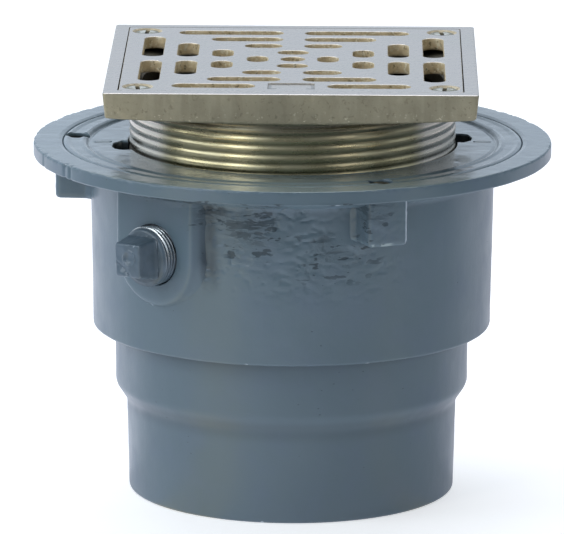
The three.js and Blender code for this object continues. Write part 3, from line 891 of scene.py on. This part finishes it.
# ------------------------------------------------------------------ shader helpers
def srgb(code):
    parts = [int(code[i:i + 2], 16) / 255 for i in (0, 2, 4)]
    linear = [v / 12.92 if v < 0.04045 else ((v + 0.055) / 1.055) ** 2.4 for v in parts]
    return (*linear, 1.0)


class Shader:
    """Builds the nodes of one tree. Ranges are (start, end); colours are hex or linear RGBA."""

    def __init__(self, tree):
        self.tree = tree
        tree.nodes.clear()

    def node(self, kind, **settings):
        n = self.tree.nodes.new(kind)
        for key, value in settings.items():
            setattr(n, key, value)
        return n

    def link(self, a, b):
        self.tree.links.new(a, b)

    def put(self, socket, value):
        if isinstance(value, bpy.types.NodeSocket):
            self.link(value, socket)
        else:
            socket.default_value = srgb(value) if isinstance(value, str) else value

    def math(self, operation, a, b=None, c=None, clamp=False):
        n = self.node("ShaderNodeMath", operation=operation, use_clamp=clamp)
        for socket, value in zip(n.inputs, (a, b, c)):
            if value is not None:
                self.put(socket, value)
        return n.outputs[0]

    def multiply(self, first, *others):
        for other in others:
            first = self.math("MULTIPLY", first, other)
        return first

    def weighted_sum(self, first, *others):
        """Sum of (value, weight) pairs."""
        total = self.multiply(*first)
        for pair in others:
            total = self.math("ADD", total, self.multiply(*pair))
        return total

    def either(self, a, b):
        return self.math("MAXIMUM", a, b)

    def length(self, x, y):
        return self.math("SQRT", self.weighted_sum((x, x), (y, y)))

    def ramp(self, value, over, to=(0.0, 1.0)):
        """Eased change from to[0] to to[1] while value goes over its range."""
        n = self.node("ShaderNodeMapRange", interpolation_type="SMOOTHSTEP")
        names = ("Value", "From Min", "From Max", "To Min", "To Max")
        for name, setting in zip(names, (value, *over, *to)):
            self.put(n.inputs[name], setting)
        return n.outputs[0]

    def between(self, value, rise, fall):
        """1 between two ramps."""
        return self.multiply(self.ramp(value, rise), self.ramp(value, fall))

    def mix_colors(self, fac, a, b):
        n = self.node("ShaderNodeMix", data_type="RGBA", blend_type="MIX")
        for socket, value in zip((n.inputs[0], n.inputs[6], n.inputs[7]), (fac, a, b)):
            self.put(socket, value)
        return n.outputs[2]

    def mix_floats(self, fac, a, b):
        n = self.node("ShaderNodeMix", data_type="FLOAT")
        for socket, value in zip((n.inputs[0], n.inputs[2], n.inputs[3]), (fac, a, b)):
            self.put(socket, value)
        return n.outputs[0]

    def paint(self, under, over, mask, amount=None):
        """Lays a colour over another where mask is 1, at the given strength."""
        if amount is not None:
            mask = self.multiply(mask, amount)
        return self.mix_colors(mask, under, over)

    def separate(self, vector):
        n = self.node("ShaderNodeSeparateXYZ")
        self.link(vector, n.inputs[0])
        return n.outputs


class Material(Shader):
    """A material around one Principled shader, in object coordinates."""

    def __init__(self, name):
        self.material = bpy.data.materials.new(name)
        self.material.use_nodes = True
        super().__init__(self.material.node_tree)
        self.output = self.node("ShaderNodeOutputMaterial")
        self.principled = self.node("ShaderNodeBsdfPrincipled")
        self.link(self.principled.outputs[0], self.output.inputs[0])
        self.coords = self.node("ShaderNodeTexCoord").outputs["Object"]

    def set(self, **values):
        for key, value in values.items():
            self.put(self.principled.inputs[key.replace("_", " ")], value)

    def noise(self, scale, detail=3.0, rough=0.55, coords=None, distortion=0.0):
        n = self.node("ShaderNodeTexNoise")
        self.link(coords or self.coords, n.inputs["Vector"])
        n.inputs["Scale"].default_value = scale
        n.inputs["Detail"].default_value = detail
        n.inputs["Roughness"].default_value = rough
        n.inputs["Distortion"].default_value = distortion
        return n.outputs["Fac"]

    def voronoi(self, scale, coords):
        n = self.node("ShaderNodeTexVoronoi")
        self.link(coords, n.inputs["Vector"])
        n.inputs["Scale"].default_value = scale
        return n.outputs["Distance"]

    def scaled(self, x, y, z):
        n = self.node("ShaderNodeMapping")
        self.link(self.coords, n.inputs["Vector"])
        n.inputs["Scale"].default_value = (x, y, z)
        return n.outputs[0]

    def bump(self, height, strength, distance):
        n = self.node("ShaderNodeBump")
        self.put(n.inputs["Height"], height)
        n.inputs["Strength"].default_value = strength
        n.inputs["Distance"].default_value = distance
        return n.outputs[0]

    def xyz(self):
        return self.separate(self.coords)

    def geometry(self, output):
        return self.node("ShaderNodeNewGeometry").outputs[output]

    def normal_z(self):
        return self.separate(self.geometry("Normal"))[2]

    def radius(self):
        x, y, _ = self.xyz()
        return self.length(x, y)

    def across(self, x, y, angle):
        """Distance to the right of the radial line at this angle, seen from outside."""
        d = direction(angle)
        return self.weighted_sum((x, -d[1]), (y, d[0]))


def assign(ob, material):
    ob.data.materials.clear()
    ob.data.materials.append(material)
    ob.data.polygons.foreach_set("material_index", np.zeros(len(ob.data.polygons), int))


# ------------------------------------------------------------------ enamel
UPWARD = (0.7, 0.95)            # range of the normal's z that counts as facing up
FRONT_HALF = (0.0, -0.02)       # range of y over which marks on the front come in


def body_zone(m, x, y, z):
    """Wrinkled area across the front below the flange."""
    front = m.ramp(y, (-0.030, -0.066))
    middle = m.between(x, (-0.050, -0.030), (0.050, 0.022))
    high = m.between(z, (0.094, 0.132), (0.1440, 0.1412))
    under = m.between(z, (0.1330, 0.1375), (0.1425, 0.1400))
    reach = m.between(x, (-0.074, -0.060), (0.034, 0.012))
    zone = m.either(m.multiply(middle, high), m.multiply(under, reach))
    breakup = m.ramp(m.noise(scale=55, detail=2, rough=0.5), (0.30, 0.62))
    return m.multiply(front, zone, breakup)


# painted shade and painted highlights on the body, placed by position
def body_painted_light(m, color, x, y, z):
    # painted shade held in the corner to the right of the pad
    across = m.across(x, y, PAD_ANGLE)
    corner = m.multiply(m.between(across, (0.0215, 0.0240), (0.0320, 0.0250)),
                        m.ramp(z, (0.1418, 0.1412)))
    reach = m.multiply(m.ramp(z, (0.096, 0.110)), m.ramp(y, FRONT_HALF))
    corner_shade_noise = m.noise(scale=110, detail=2, rough=0.5, coords=m.scaled(1, 1, 0.4))
    color = m.paint(color, "22333F", m.multiply(corner, reach),
                    amount=m.ramp(corner_shade_noise, (0.35, 0.6), to=(0.40, 0.85)))
    # painted shade on the left side of the front lug, and a painted highlight along its right outer edge
    u = m.across(x, y, BOLT_ANGLES[FRONT_BOLT])
    r = m.radius()
    lug = m.multiply(m.ramp(z, (0.1225, 0.1245)),
                     m.multiply(m.ramp(y, FRONT_HALF), m.ramp(r, (0.0846, 0.0856))))
    lug = m.multiply(lug, m.ramp(z, (0.1418, 0.1412)))
    left = m.multiply(lug, m.between(u, (-0.0120, -0.0105), (-0.0076, -0.0086)))
    color = m.paint(color, "333F46", left, amount=0.12)
    edge = m.multiply(m.ramp(u, (0.0070, 0.0078)), m.ramp(r, (0.0950, 0.0970)))
    bright = m.multiply(lug, m.ramp(z, (0.1420, 0.1405)), edge)
    color = m.paint(color, "B9C6D2", bright, amount=0.8)
    # painted highlight in pale flecks along the bottom edge of the lug
    low = m.multiply(m.ramp(z, (0.1238, 0.1232)), m.ramp(y, FRONT_HALF))
    broken = m.ramp(m.noise(scale=190, detail=2), (0.50, 0.57))
    outer = m.multiply(m.ramp(r, (0.0905, 0.0925)), broken)
    limits = m.multiply(m.ramp(z, (0.1205, 0.1215)),
                        m.between(u, (0.003, 0.0), (-0.013, -0.010)))
    return m.paint(color, "A4B4B8", m.multiply(low, outer, limits), amount=0.8)


def collar_zone(m, x, y, z):
    return m.ramp(m.noise(scale=40, detail=2), (0.9, 1.0))


def collar_painted_shade(m, color, x, y, z):
    """Painted shade inside the holes and notches."""
    deep = m.between(z, ((COLLAR_TOP - 0.9) * MM, (COLLAR_TOP - 1.6) * MM), (0.1378, 0.1386))
    return m.paint(color, "14191C", deep, amount=0.9)


def enamel_flaws(m, z, cells, zone):
    """Dark creases, blots and pits in the zone, with sparse pinholes everywhere."""
    crease_lines = m.ramp(m.math("ABSOLUTE", m.math("SUBTRACT", cells, 0.5)), (0.030, 0.004))
    creases = m.multiply(crease_lines, m.ramp(m.noise(scale=90, detail=2), (0.52, 0.62)))
    long = m.scaled(0.42, 0.42, 1.5)
    # blots grow larger towards the flange
    rising = (0.110, 0.138)
    blot_range = (m.ramp(z, rising, to=(0.57, 0.485)), m.ramp(z, rising, to=(0.60, 0.535)))
    blot_noise = m.noise(scale=210, detail=3, rough=0.66, coords=long, distortion=0.5)
    blots = m.ramp(blot_noise, blot_range)
    pits = m.ramp(m.noise(scale=330, detail=2, coords=m.scaled(0.45, 0.45, 1.2)), (0.60, 0.63))
    patches = m.noise(scale=75, detail=2, rough=0.5, coords=long)
    thick = m.ramp(m.math("ADD", m.multiply(zone, 0.5), patches), (0.62, 0.86))
    flaws = m.multiply(m.either(m.multiply(creases, 0.45), blots), m.multiply(zone, thick))
    flaws = m.either(flaws, m.multiply(pits, m.ramp(zone, (0.05, 0.4))))
    pinholes = m.ramp(m.voronoi(scale=170, coords=m.scaled(1, 1, 1.8)), (0.085, 0.045))
    sparse = m.multiply(pinholes, m.ramp(m.noise(scale=33, detail=1), (0.58, 0.63)))
    return m.either(flaws, m.multiply(sparse, 0.6))


def enamel(name, find_zone, add_painted_light, edge_wear_and_highlight):
    m = Material(name)
    x, y, z = m.xyz()
    nz = m.normal_z()
    mid = m.noise(scale=60, detail=4)
    fine = m.noise(scale=650, detail=3, rough=0.6)
    runs = m.noise(scale=130, detail=2, rough=0.5, coords=m.scaled(1, 1, 0.10))
    cells = m.noise(scale=230, detail=3.5, rough=0.66, coords=m.scaled(0.55, 0.55, 1.25),
                    distortion=1.3)
    zone = find_zone(m, x, y, z)
    dark = enamel_flaws(m, z, cells, zone)

    color = m.mix_colors(m.ramp(m.noise(scale=14, detail=2), (0.35, 0.7)), "647782", "5F737E")
    color = m.paint(color, "65758A", m.ramp(mid, (0.4, 0.75), to=(0, 0.3)))
    color = m.paint(color, "20333D", dark, amount=0.78)
    color = m.paint(color, "47545A", zone, amount=0.22)
    pale = m.multiply(m.ramp(cells, (0.60, 0.70)), zone)
    color = m.paint(color, "8496A2", pale, amount=0.45)
    color = add_painted_light(m, color, x, y, z)
    # painted light: upward faces towards the front are made paler
    front_top_painted_light = m.multiply(m.ramp(nz, UPWARD), m.ramp(y, (-0.060, -0.082)))
    color = m.paint(color, "93A09A", front_top_painted_light, amount=0.55)
    # shade at the two steps of the wall
    wall_steps = m.either(m.between(z, (0.0330, 0.0385), (0.0450, 0.0410)),
                          m.between(z, (0.0650, 0.0690), (0.0705, 0.0700)))
    color = m.paint(color, "2F3B42", wall_steps, amount=0.22)
    # pale convex edges: chipped wear and a painted highlight
    edge = m.multiply(m.ramp(m.geometry("Pointiness"), (0.53, 0.60)),
                      m.ramp(m.noise(scale=160, detail=3), (0.50, 0.62)))
    color = m.paint(color, "C3CFDC", edge, amount=edge_wear_and_highlight)

    height = m.weighted_sum((mid, 0.45), (fine, 0.08), (runs, 0.22),
                            (m.multiply(cells, zone), 1.5))
    height = m.math("SUBTRACT", height, m.multiply(dark, 0.5))
    side_rough = m.ramp(mid, (0.3, 0.8), to=(0.30, 0.42))
    top_rough = m.ramp(mid, (0.3, 0.8), to=(0.15, 0.24))
    rough = m.mix_floats(m.ramp(nz, UPWARD), side_rough, top_rough)
    m.set(Base_Color=color, Metallic=0.0, Roughness=m.mix_floats(dark, rough, 0.55),
          Specular_IOR_Level=0.55,
          Coat_Weight=m.mix_floats(m.ramp(nz, UPWARD), 0.18, 0.40), Coat_Roughness=0.16,
          Normal=m.bump(height, strength=0.5, distance=0.0009))
    return m.material


def plug_enamel():
    """Worn enamel, with bare metal on the thread crests of one side."""
    m = Material("plug_enamel_worn")
    mottle = m.noise(scale=90)
    grain = m.noise(scale=600, rough=0.6)
    color = m.mix_colors(m.ramp(mottle, (0.35, 0.7)), "5E6F7D", "50606B")
    x, y, z = m.xyz()
    d = direction(PAD_ANGLE)
    out = m.weighted_sum((x, d[0]), (y, d[1]))
    thread = m.between(out, ((PAD_FACE - 10) * MM, (PAD_FACE - 9) * MM),
                       ((PAD_FACE + 5.9) * MM, (PAD_FACE + 5.4) * MM))
    across = m.across(x, y, PAD_ANGLE)
    up = m.math("SUBTRACT", z, PLUG_Z * MM)
    r = m.length(across, up)
    crest = m.ramp(r, (0.01175, 0.01205))
    bare_side = m.ramp(m.weighted_sum((up, 0.95), (across, 0.45)), (0.003, 0.010))
    bare = m.multiply(thread, crest, bare_side)
    root = m.multiply(thread, m.ramp(r, (0.0117, 0.0113)))
    color = m.paint(color, "2B2F31", root, amount=0.75)
    edge = m.multiply(m.ramp(m.geometry("Pointiness"), (0.53, 0.60)),
                      m.ramp(m.noise(scale=240), (0.45, 0.6)))
    color = m.paint(color, "BFCAD2", edge, amount=0.7)
    color = m.paint(color, "C9CCCC", bare)
    rough = m.mix_floats(bare, m.ramp(mottle, (0.3, 0.8), to=(0.30, 0.44)), 0.22)
    height = m.weighted_sum((grain, 0.15), (mottle, 0.5))
    m.set(Base_Color=color, Metallic=m.multiply(bare, 0.9), Roughness=rough,
          Coat_Weight=0.2, Coat_Roughness=0.2,
          Normal=m.bump(height, strength=0.4, distance=0.0008))
    return m.material


# ------------------------------------------------------------------ metals and rubber
def satin(m):
    """Colour and streaks of the machined top: even nickel silver, warmer in patches."""
    streak = m.noise(scale=260, coords=m.scaled(1, 6, 1))
    blotch = m.noise(scale=32)
    color = m.mix_colors(m.ramp(streak, (0.3, 0.75)), "BDB6B1", "C4BEB9")
    return m.paint(color, "B9B7AE", m.ramp(blotch, (0.45, 0.72), to=(0, 0.3))), streak


def top_face(m, z, nz, start, end):
    """1 on upward faces between these heights and above, measured from the plate top."""
    top = PLATE_TOP * MM
    return m.multiply(m.ramp(z, (top + start, top + end)), m.ramp(nz, (0.6, 0.9)))


def cast_color(m, z, runs, pits):
    top = PLATE_TOP * MM
    specks = m.ramp(m.noise(scale=760, detail=2, rough=0.6), (0.64, 0.71))
    color = m.mix_colors(m.ramp(m.noise(scale=50), (0.35, 0.7)), "ABA48B", "9D9780")
    color = m.paint(color, "C0B9A0", m.ramp(runs, (0.46, 0.66), to=(0, 0.28)))
    color = m.paint(color, "6E6956", m.ramp(runs, (0.38, 0.30), to=(0, 0.15)))
    color = m.paint(color, "5C5745", pits, amount=0.26)
    strength = m.ramp(z, (top - 0.0063, top - 0.0106), to=(0.06, 0.85))
    return m.paint(color, "DCD6BC", specks, amount=strength)


def thread_color(m, x, z, band):
    """Pale nickel bronze, darker olive in bands that follow the turns, with a painted reflection at both
    sides and a painted shadow under the plate.
    """
    top = PLATE_TOP * MM
    patch = m.noise(scale=26, detail=2, coords=m.scaled(1, 1, 0.4))
    color = m.mix_colors(m.ramp(band, (0.38, 0.66)), "CCBF94", "DDD2AC")
    color = m.paint(color, "A8A182", m.ramp(patch, (0.42, 0.62), to=(0, 0.35)))
    color = m.paint(color, "5A543F", m.ramp(m.radius(), (0.06785, 0.06763)), amount=0.40)
    # painted reflection: both sides of the shank are made pale
    painted_side_reflection = m.ramp(m.math("ABSOLUTE", x), (0.0485, 0.0560), to=(0, 0.62))
    color = m.paint(color, "E9E1DC", painted_side_reflection)
    # painted shadow of the plate on the turns nearest it
    return m.paint(color, "55545A", m.ramp(z, (top - 0.0215, top - 0.0165), to=(0, 0.45)))


def bronze_frame():
    m = Material("frame_bronze")
    x, y, z = m.xyz()
    top = PLATE_TOP * MM
    is_top = top_face(m, z, m.normal_z(), -0.0006, -0.0002)
    is_thread = m.ramp(z, (top - 0.0126, top - 0.0136))
    satin_color, streak = satin(m)
    grain = m.noise(scale=850, rough=0.65)
    runs = m.noise(scale=240, detail=2, rough=0.5, coords=m.scaled(1, 1, 0.2))
    pits = m.ramp(m.noise(scale=520, detail=2, rough=0.6), (0.60, 0.70))
    band = m.noise(scale=70, coords=m.scaled(1, 1, 5))
    color = m.mix_colors(is_thread, cast_color(m, z, runs, pits), thread_color(m, x, z, band))
    color = m.mix_colors(is_top, color, satin_color)
    # painted shade inside: the tray under the grate and the bore
    square = m.either(m.math("ABSOLUTE", x), m.math("ABSOLUTE", y))
    tray = m.multiply(m.ramp(square, (0.0712, 0.0710)),
                      m.between(z, (top - 0.0050, top - 0.0053), (top - 0.0105, top - 0.0095)))
    inner = m.either(tray, m.ramp(m.radius(), (0.0640, 0.0630)))
    color = m.paint(color, "35332D", inner, amount=0.90)

    rough = m.mix_floats(is_thread, m.ramp(grain, (0.3, 0.8), to=(0.42, 0.60)),
                         m.ramp(band, (0.3, 0.75), to=(0.24, 0.33)))
    rough = m.mix_floats(is_top, rough, m.ramp(streak, (0.3, 0.8), to=(0.26, 0.36)))
    cast_height = m.math("SUBTRACT", m.weighted_sum((grain, 0.4), (runs, 0.4)),
                         m.multiply(pits, 0.4))
    marks = m.noise(scale=420, detail=2, coords=m.scaled(0.25, 0.25, 5))
    height = m.mix_floats(is_thread, cast_height, m.multiply(marks, 0.14))
    height = m.mix_floats(is_top, height, m.multiply(streak, 0.012))
    metallic = m.mix_floats(is_thread, m.mix_floats(is_top, 0.45, 0.85), 0.96)
    m.set(Base_Color=color, Metallic=metallic, Roughness=rough,
          Normal=m.bump(height, strength=0.5, distance=0.0006))
    return m.material


def screw_distance(m, abs_x, y):
    """Distance from the nearest grate screw's axis."""
    return m.length(m.math("SUBTRACT", abs_x, SCREW_X * MM),
                    m.math("SUBTRACT", m.math("ABSOLUTE", y), SCREW_Y * MM))


def bronze_grate():
    m = Material("grate_bronze")
    x, y, z = m.xyz()
    top = PLATE_TOP * MM
    is_top = top_face(m, z, m.normal_z(), -0.0011, -0.0008)
    satin_color, streak = satin(m)
    grain = m.noise(scale=900, rough=0.7)
    wall = m.mix_colors(m.ramp(m.noise(scale=160), (0.35, 0.7)), "EEDBB6", "D2BE95")
    bright = m.noise(scale=620, detail=2, rough=0.6)
    wall = m.paint(wall, "FBF0D4", m.ramp(bright, (0.54, 0.64), to=(0, 0.9)))
    dull = m.noise(scale=480, detail=2, rough=0.6)
    wall = m.paint(wall, "7A6A48", m.ramp(dull, (0.58, 0.68), to=(0, 0.65)))
    # painted shade on the lower part of the slot walls
    wall = m.paint(wall, "3A3522", m.ramp(z, (top - 0.0040, top - 0.0051)), amount=0.42)
    # painted shade: a thin dark line round the plain panel, dark blocks in its two front corners
    abs_x = m.math("ABSOLUTE", x)
    panel_y = m.math("ADD", y, -PANEL_Y * MM)
    abs_y = m.math("ABSOLUTE", panel_y)
    inside = m.multiply(m.ramp(abs_x, (0.0098, 0.0095)), m.ramp(abs_y, (0.0067, 0.0064)))
    rim = m.either(m.ramp(abs_x, (0.0078, 0.0083)), m.ramp(abs_y, (0.0046, 0.0051)))
    line = m.multiply(inside, rim)
    corners = m.multiply(m.ramp(abs_x, (0.0058, 0.0062)), m.ramp(panel_y, (-0.0020, -0.0026)))
    blocks = m.multiply(inside, corners)
    # dark ring round each screw head
    sink = m.ramp(screw_distance(m, abs_x, y), (0.0057, 0.0053))
    color = m.mix_colors(is_top, wall, satin_color)
    color = m.paint(color, "707173", line, amount=0.55)
    color = m.paint(color, "4C4838", blocks, amount=0.55)
    color = m.paint(color, "454129", sink, amount=0.85)
    rough = m.mix_floats(is_top, m.ramp(grain, (0.3, 0.8), to=(0.32, 0.55)),
                         m.ramp(streak, (0.3, 0.8), to=(0.26, 0.36)))
    height = m.mix_floats(is_top, m.multiply(grain, 0.9), m.multiply(streak, 0.012))
    m.set(Base_Color=color, Metallic=m.mix_floats(is_top, 0.12, 0.85), Roughness=rough,
          Normal=m.bump(height, strength=0.5, distance=0.0006))
    return m.material


def darken_screw(m, color, face):
    """Olive round the rim of each grate screw head, and painted shade in its slot."""
    x, y, z = m.xyz()
    r = screw_distance(m, m.math("ABSOLUTE", x), y)
    ragged = m.math("MULTIPLY_ADD", m.noise(scale=500, detail=2), 0.0012, r)
    color = m.paint(color, "6C6749", m.ramp(ragged, (0.0036, 0.0043), to=(0, 0.85)))
    below_face = m.ramp(z, ((face - 0.25) * MM, (face - 0.6) * MM), to=(0, 0.9))
    in_head = m.ramp(z, ((face - 3.4) * MM, (face - 2.9) * MM))
    return m.paint(color, "28251A", below_face, amount=in_head)


def screw_metal(name, base, rough, face=None):
    """Fastener metal; face is the height of the grate screw heads, where they are darkened."""
    m = Material(name)
    grain = m.noise(scale=900, rough=0.6)
    mottle = m.ramp(m.noise(scale=300, detail=2), (0.35, 0.7))
    color = m.mix_colors(mottle, base, "8F8970")
    if face is not None:
        color = darken_screw(m, color, face)
    m.set(Base_Color=color, Metallic=0.95,
          Roughness=m.ramp(grain, (0.3, 0.8), to=(rough, rough + 0.18)),
          Normal=m.bump(grain, strength=0.25, distance=0.0003))
    return m.material


def rubber():
    m = Material("gasket_rubber")
    grain = m.noise(scale=500)
    mottle = m.ramp(m.noise(scale=40), (0.3, 0.7))
    m.set(Base_Color=m.mix_colors(mottle, (0.012, 0.012, 0.013, 1), (0.03, 0.03, 0.03, 1)),
          Roughness=m.ramp(grain, (0.3, 0.8), to=(0.55, 0.8)),
          Normal=m.bump(grain, strength=0.3, distance=0.0004))
    return m.material


assign(build_body(), enamel("body_enamel_coat", body_zone, body_painted_light, edge_wear_and_highlight=0.75))
assign(build_collar(), enamel("collar_enamel_coat", collar_zone, collar_painted_shade, edge_wear_and_highlight=0.3))
assign(build_frame(), bronze_frame())
assign(build_grate(), bronze_grate())
steel = screw_metal("screw_stainless", base="DCDBD4", rough=0.25, face=SCREW_TOP)
for screw in build_screws():
    assign(screw, steel)
dull_steel = screw_metal("bolt_dull", base="5C5B57", rough=0.42)
for bolt in build_bolts():
    assign(bolt, dull_steel)
assign(build_plug(), plug_enamel())
assign(build_gasket(), rubber())


# ------------------------------------------------------------------ floor
LEFT_GLOW, RIGHT_GLOW = -41, 53     # plan angles of the two glows seen in reflections


def cosine(degrees):
    return math.cos(math.radians(degrees))


def floor_material():
    """White floor; reflections see a graded emission instead of it."""
    m = Material("floor_white")
    path = m.node("ShaderNodeLightPath")
    white = m.mix_colors(m.ramp(m.noise(scale=3), (0.3, 0.7)),
                         (0.86, 0.86, 0.87, 1), (0.88, 0.88, 0.89, 1))
    # a base emission of 0.30, with 0.24 more for the camera
    glow_level = m.math("MULTIPLY_ADD", path.outputs["Is Camera Ray"], 0.24, 0.30)
    m.set(Base_Color=white, Roughness=0.8, Specular_IOR_Level=0.1,
          Emission_Color=(1, 1, 1, 1), Emission_Strength=glow_level)
    x, y, _ = m.xyz()
    r = m.radius()
    unit_x, unit_y = m.math("DIVIDE", x, r), m.math("DIVIDE", y, r)
    lobes = []
    # plan angle, half width and soft edge in degrees, gain
    for angle, half, soft, gain in ((LEFT_GLOW, 8, 12, 1.0), (RIGHT_GLOW, 3, 8, 0.6)):
        d = direction(angle)
        facing = m.weighted_sum((unit_x, d[0]), (unit_y, d[1]))
        lobes.append(m.ramp(facing, (cosine(half + soft), cosine(half)), to=(0.0, gain)))
    glow = m.math("ADD", *lobes)
    # dimmer in front, further out and on the right
    front = m.ramp(r, (0.30, 0.76), to=(0.84, 0.14))
    level = m.multiply(m.mix_floats(m.ramp(unit_y, (0.10, 0.30)), front, 1.25),
                       m.ramp(unit_x, (-0.15, 0.75), to=(1.0, 0.66)))
    seen = m.node("ShaderNodeEmission")
    tint = m.mix_colors(m.math("MULTIPLY", glow, 1.0, clamp=True),
                        (0.84, 0.87, 1.0, 1), (1.0, 0.90, 0.66, 1))
    m.put(seen.inputs["Color"], tint)
    gain = m.ramp(r, (0.50, 0.66), to=(0.15, 0.85))
    m.put(seen.inputs["Strength"], m.math("MULTIPLY_ADD", glow, gain, level))
    both = m.node("ShaderNodeMixShader")
    m.link(path.outputs["Is Glossy Ray"], both.inputs[0])
    m.link(m.principled.outputs[0], both.inputs[1])
    m.link(seen.outputs[0], both.inputs[2])
    m.link(both.outputs[0], m.output.inputs[0])
    return m.material


def build_floor():
    """Disc of 4 m radius, centred a little behind the drain."""
    rings = [at_height(circle(r, 64, 0, 200), 0) for r in (0.001, 400, 1500, 4000)]
    ob = make_object("floor", np.vstack(rings), grid_faces(4, 64, wrap_rows=False))
    assign(ob, floor_material())


build_floor()


# ------------------------------------------------------------------ lights
def area_light(name, location, target, size, energy, color):
    light = bpy.data.lights.new(name, "AREA")
    light.shape = "RECTANGLE"
    light.size, light.size_y = size
    light.energy = energy
    light.color = color
    ob = bpy.data.objects.new(name, light)
    bpy.context.scene.collection.objects.link(ob)
    ob.location = location
    aim = Vector(target) - Vector(location)
    ob.rotation_euler = aim.to_track_quat("-Z", "Y").to_euler()


LIGHT_TARGET_Z = 0.14
# name, plan angle, elevation, distance, (width, height), watts, colour
LIGHTS_AROUND = (
    ("key_left", -72, 28, 1.9, (0.9, 1.2), 9.8, (0.87, 0.945, 1.0)),
    ("soft_front_left", -40, 30, 1.8, (0.34, 0.9), 3.8, (1.0, 0.985, 0.96)),
    ("soft_front_right", 38, 26, 1.8, (0.16, 0.7), 1.1, (1.0, 0.97, 0.96)),
    ("fill_right", 82, 24, 1.9, (0.8, 1.2), 1.5, (0.78, 0.88, 1.0)),
)
for name, angle, elevation, distance, size, energy, color in LIGHTS_AROUND:
    a, e = math.radians(angle), math.radians(elevation)
    location = (distance * math.sin(a) * math.cos(e), -distance * math.cos(a) * math.cos(e),
                LIGHT_TARGET_Z + distance * math.sin(e))
    area_light(name, location, (0, 0, LIGHT_TARGET_Z), size, energy, color)
area_light("top_back", location=(0.0, 0.9, 1.9), target=(0, 0, 0.1), size=(2.0, 1.2),
           energy=17, color=(0.94, 0.96, 1.0))


# ------------------------------------------------------------------ world
def world_panel(w, x, y, z, angle, half, soft):
    """Upright glow seen round this plan angle; half width and soft edge in degrees."""
    flat = w.math("SQRT", w.weighted_sum((x, x), (y, y)), 0.0)
    d = direction(angle)
    facing = w.math("DIVIDE", w.weighted_sum((x, d[0]), (y, d[1])), flat)
    lobe = w.ramp(facing, (cosine(half + soft), cosine(half)))
    return w.multiply(lobe, w.ramp(z, (0.02, 0.2)))


def build_world():
    """White to the camera; the cool light it casts is dimmer in front and on the right."""
    world = bpy.data.worlds.new("studio")
    bpy.context.scene.world = world
    world.use_nodes = True
    w = Shader(world.node_tree)
    x, y, z = w.separate(w.node("ShaderNodeTexCoord").outputs["Generated"])
    path = w.node("ShaderNodeLightPath")
    diffuse = w.ramp(y, (-0.55, 0.45), to=(0.20, 0.78))
    side = w.ramp(x, (-0.15, 0.75), to=(1.0, 0.52))
    glossy = w.ramp(y, (0.10, 0.30), to=(0.25, 0.95))
    for angle, half, soft, gain in ((LEFT_GLOW, 10, 10, 1.3), (RIGHT_GLOW, 3, 7, 0.9)):
        panel = world_panel(w, x, y, z, angle, half, soft)
        glossy = w.math("MULTIPLY_ADD", panel, gain, glossy)
    level = w.mix_floats(path.outputs["Is Glossy Ray"], diffuse, glossy)
    seen = w.node("ShaderNodeBackground")
    seen.inputs[0].default_value = (1, 1, 1, 1)
    seen.inputs[1].default_value = 1.1
    cast = w.node("ShaderNodeBackground")
    cast.inputs[0].default_value = (0.76, 0.87, 1.0, 1)
    w.link(w.multiply(level, side), cast.inputs[1])
    both = w.node("ShaderNodeMixShader")
    w.link(path.outputs["Is Camera Ray"], both.inputs[0])
    w.link(cast.outputs[0], both.inputs[1])
    w.link(seen.outputs[0], both.inputs[2])
    w.link(both.outputs[0], w.node("ShaderNodeOutputWorld").inputs[0])


build_world()


# ------------------------------------------------------------------ camera
# a long lens, looking slightly down and almost square on
CAMERA_DISTANCE = 2823.3            # mm
CAMERA_ELEVATION, CAMERA_ANGLE, CAMERA_ROLL = 12.5, 0.62, 0.25      # degrees
CAMERA_LENS = 430.595745            # mm, on a 36 mm sensor
CAMERA_SHIFT = (-0.0177304965, -0.0195035461)   # fractions of the picture width


def build_camera():
    elevation = math.radians(CAMERA_ELEVATION)
    angle = math.radians(CAMERA_ANGLE)
    roll = math.radians(CAMERA_ROLL)
    back = Vector((math.sin(angle) * math.cos(elevation),
                   -math.cos(angle) * math.cos(elevation), math.sin(elevation)))
    right = (-back).cross(Vector((0, 0, 1))).normalized()
    up = right.cross(-back)
    rolled_right = right * math.cos(roll) + up * math.sin(roll)
    rolled_up = -right * math.sin(roll) + up * math.cos(roll)
    camera = bpy.data.cameras.new("camera")
    camera.sensor_width = 36.0
    camera.lens = CAMERA_LENS
    camera.shift_x, camera.shift_y = CAMERA_SHIFT
    camera.clip_end = 50
    ob = bpy.data.objects.new("camera", camera)
    bpy.context.scene.collection.objects.link(ob)
    matrix = Matrix((rolled_right, rolled_up, back)).transposed().to_4x4()
    target = Vector((0, 0, (FLANGE_TOP - 50) * MM))
    matrix.translation = target + back * CAMERA_DISTANCE * MM
    ob.matrix_world = matrix
    bpy.context.scene.camera = ob


build_camera()
bpy.context.scene.view_settings.view_transform = "Standard"
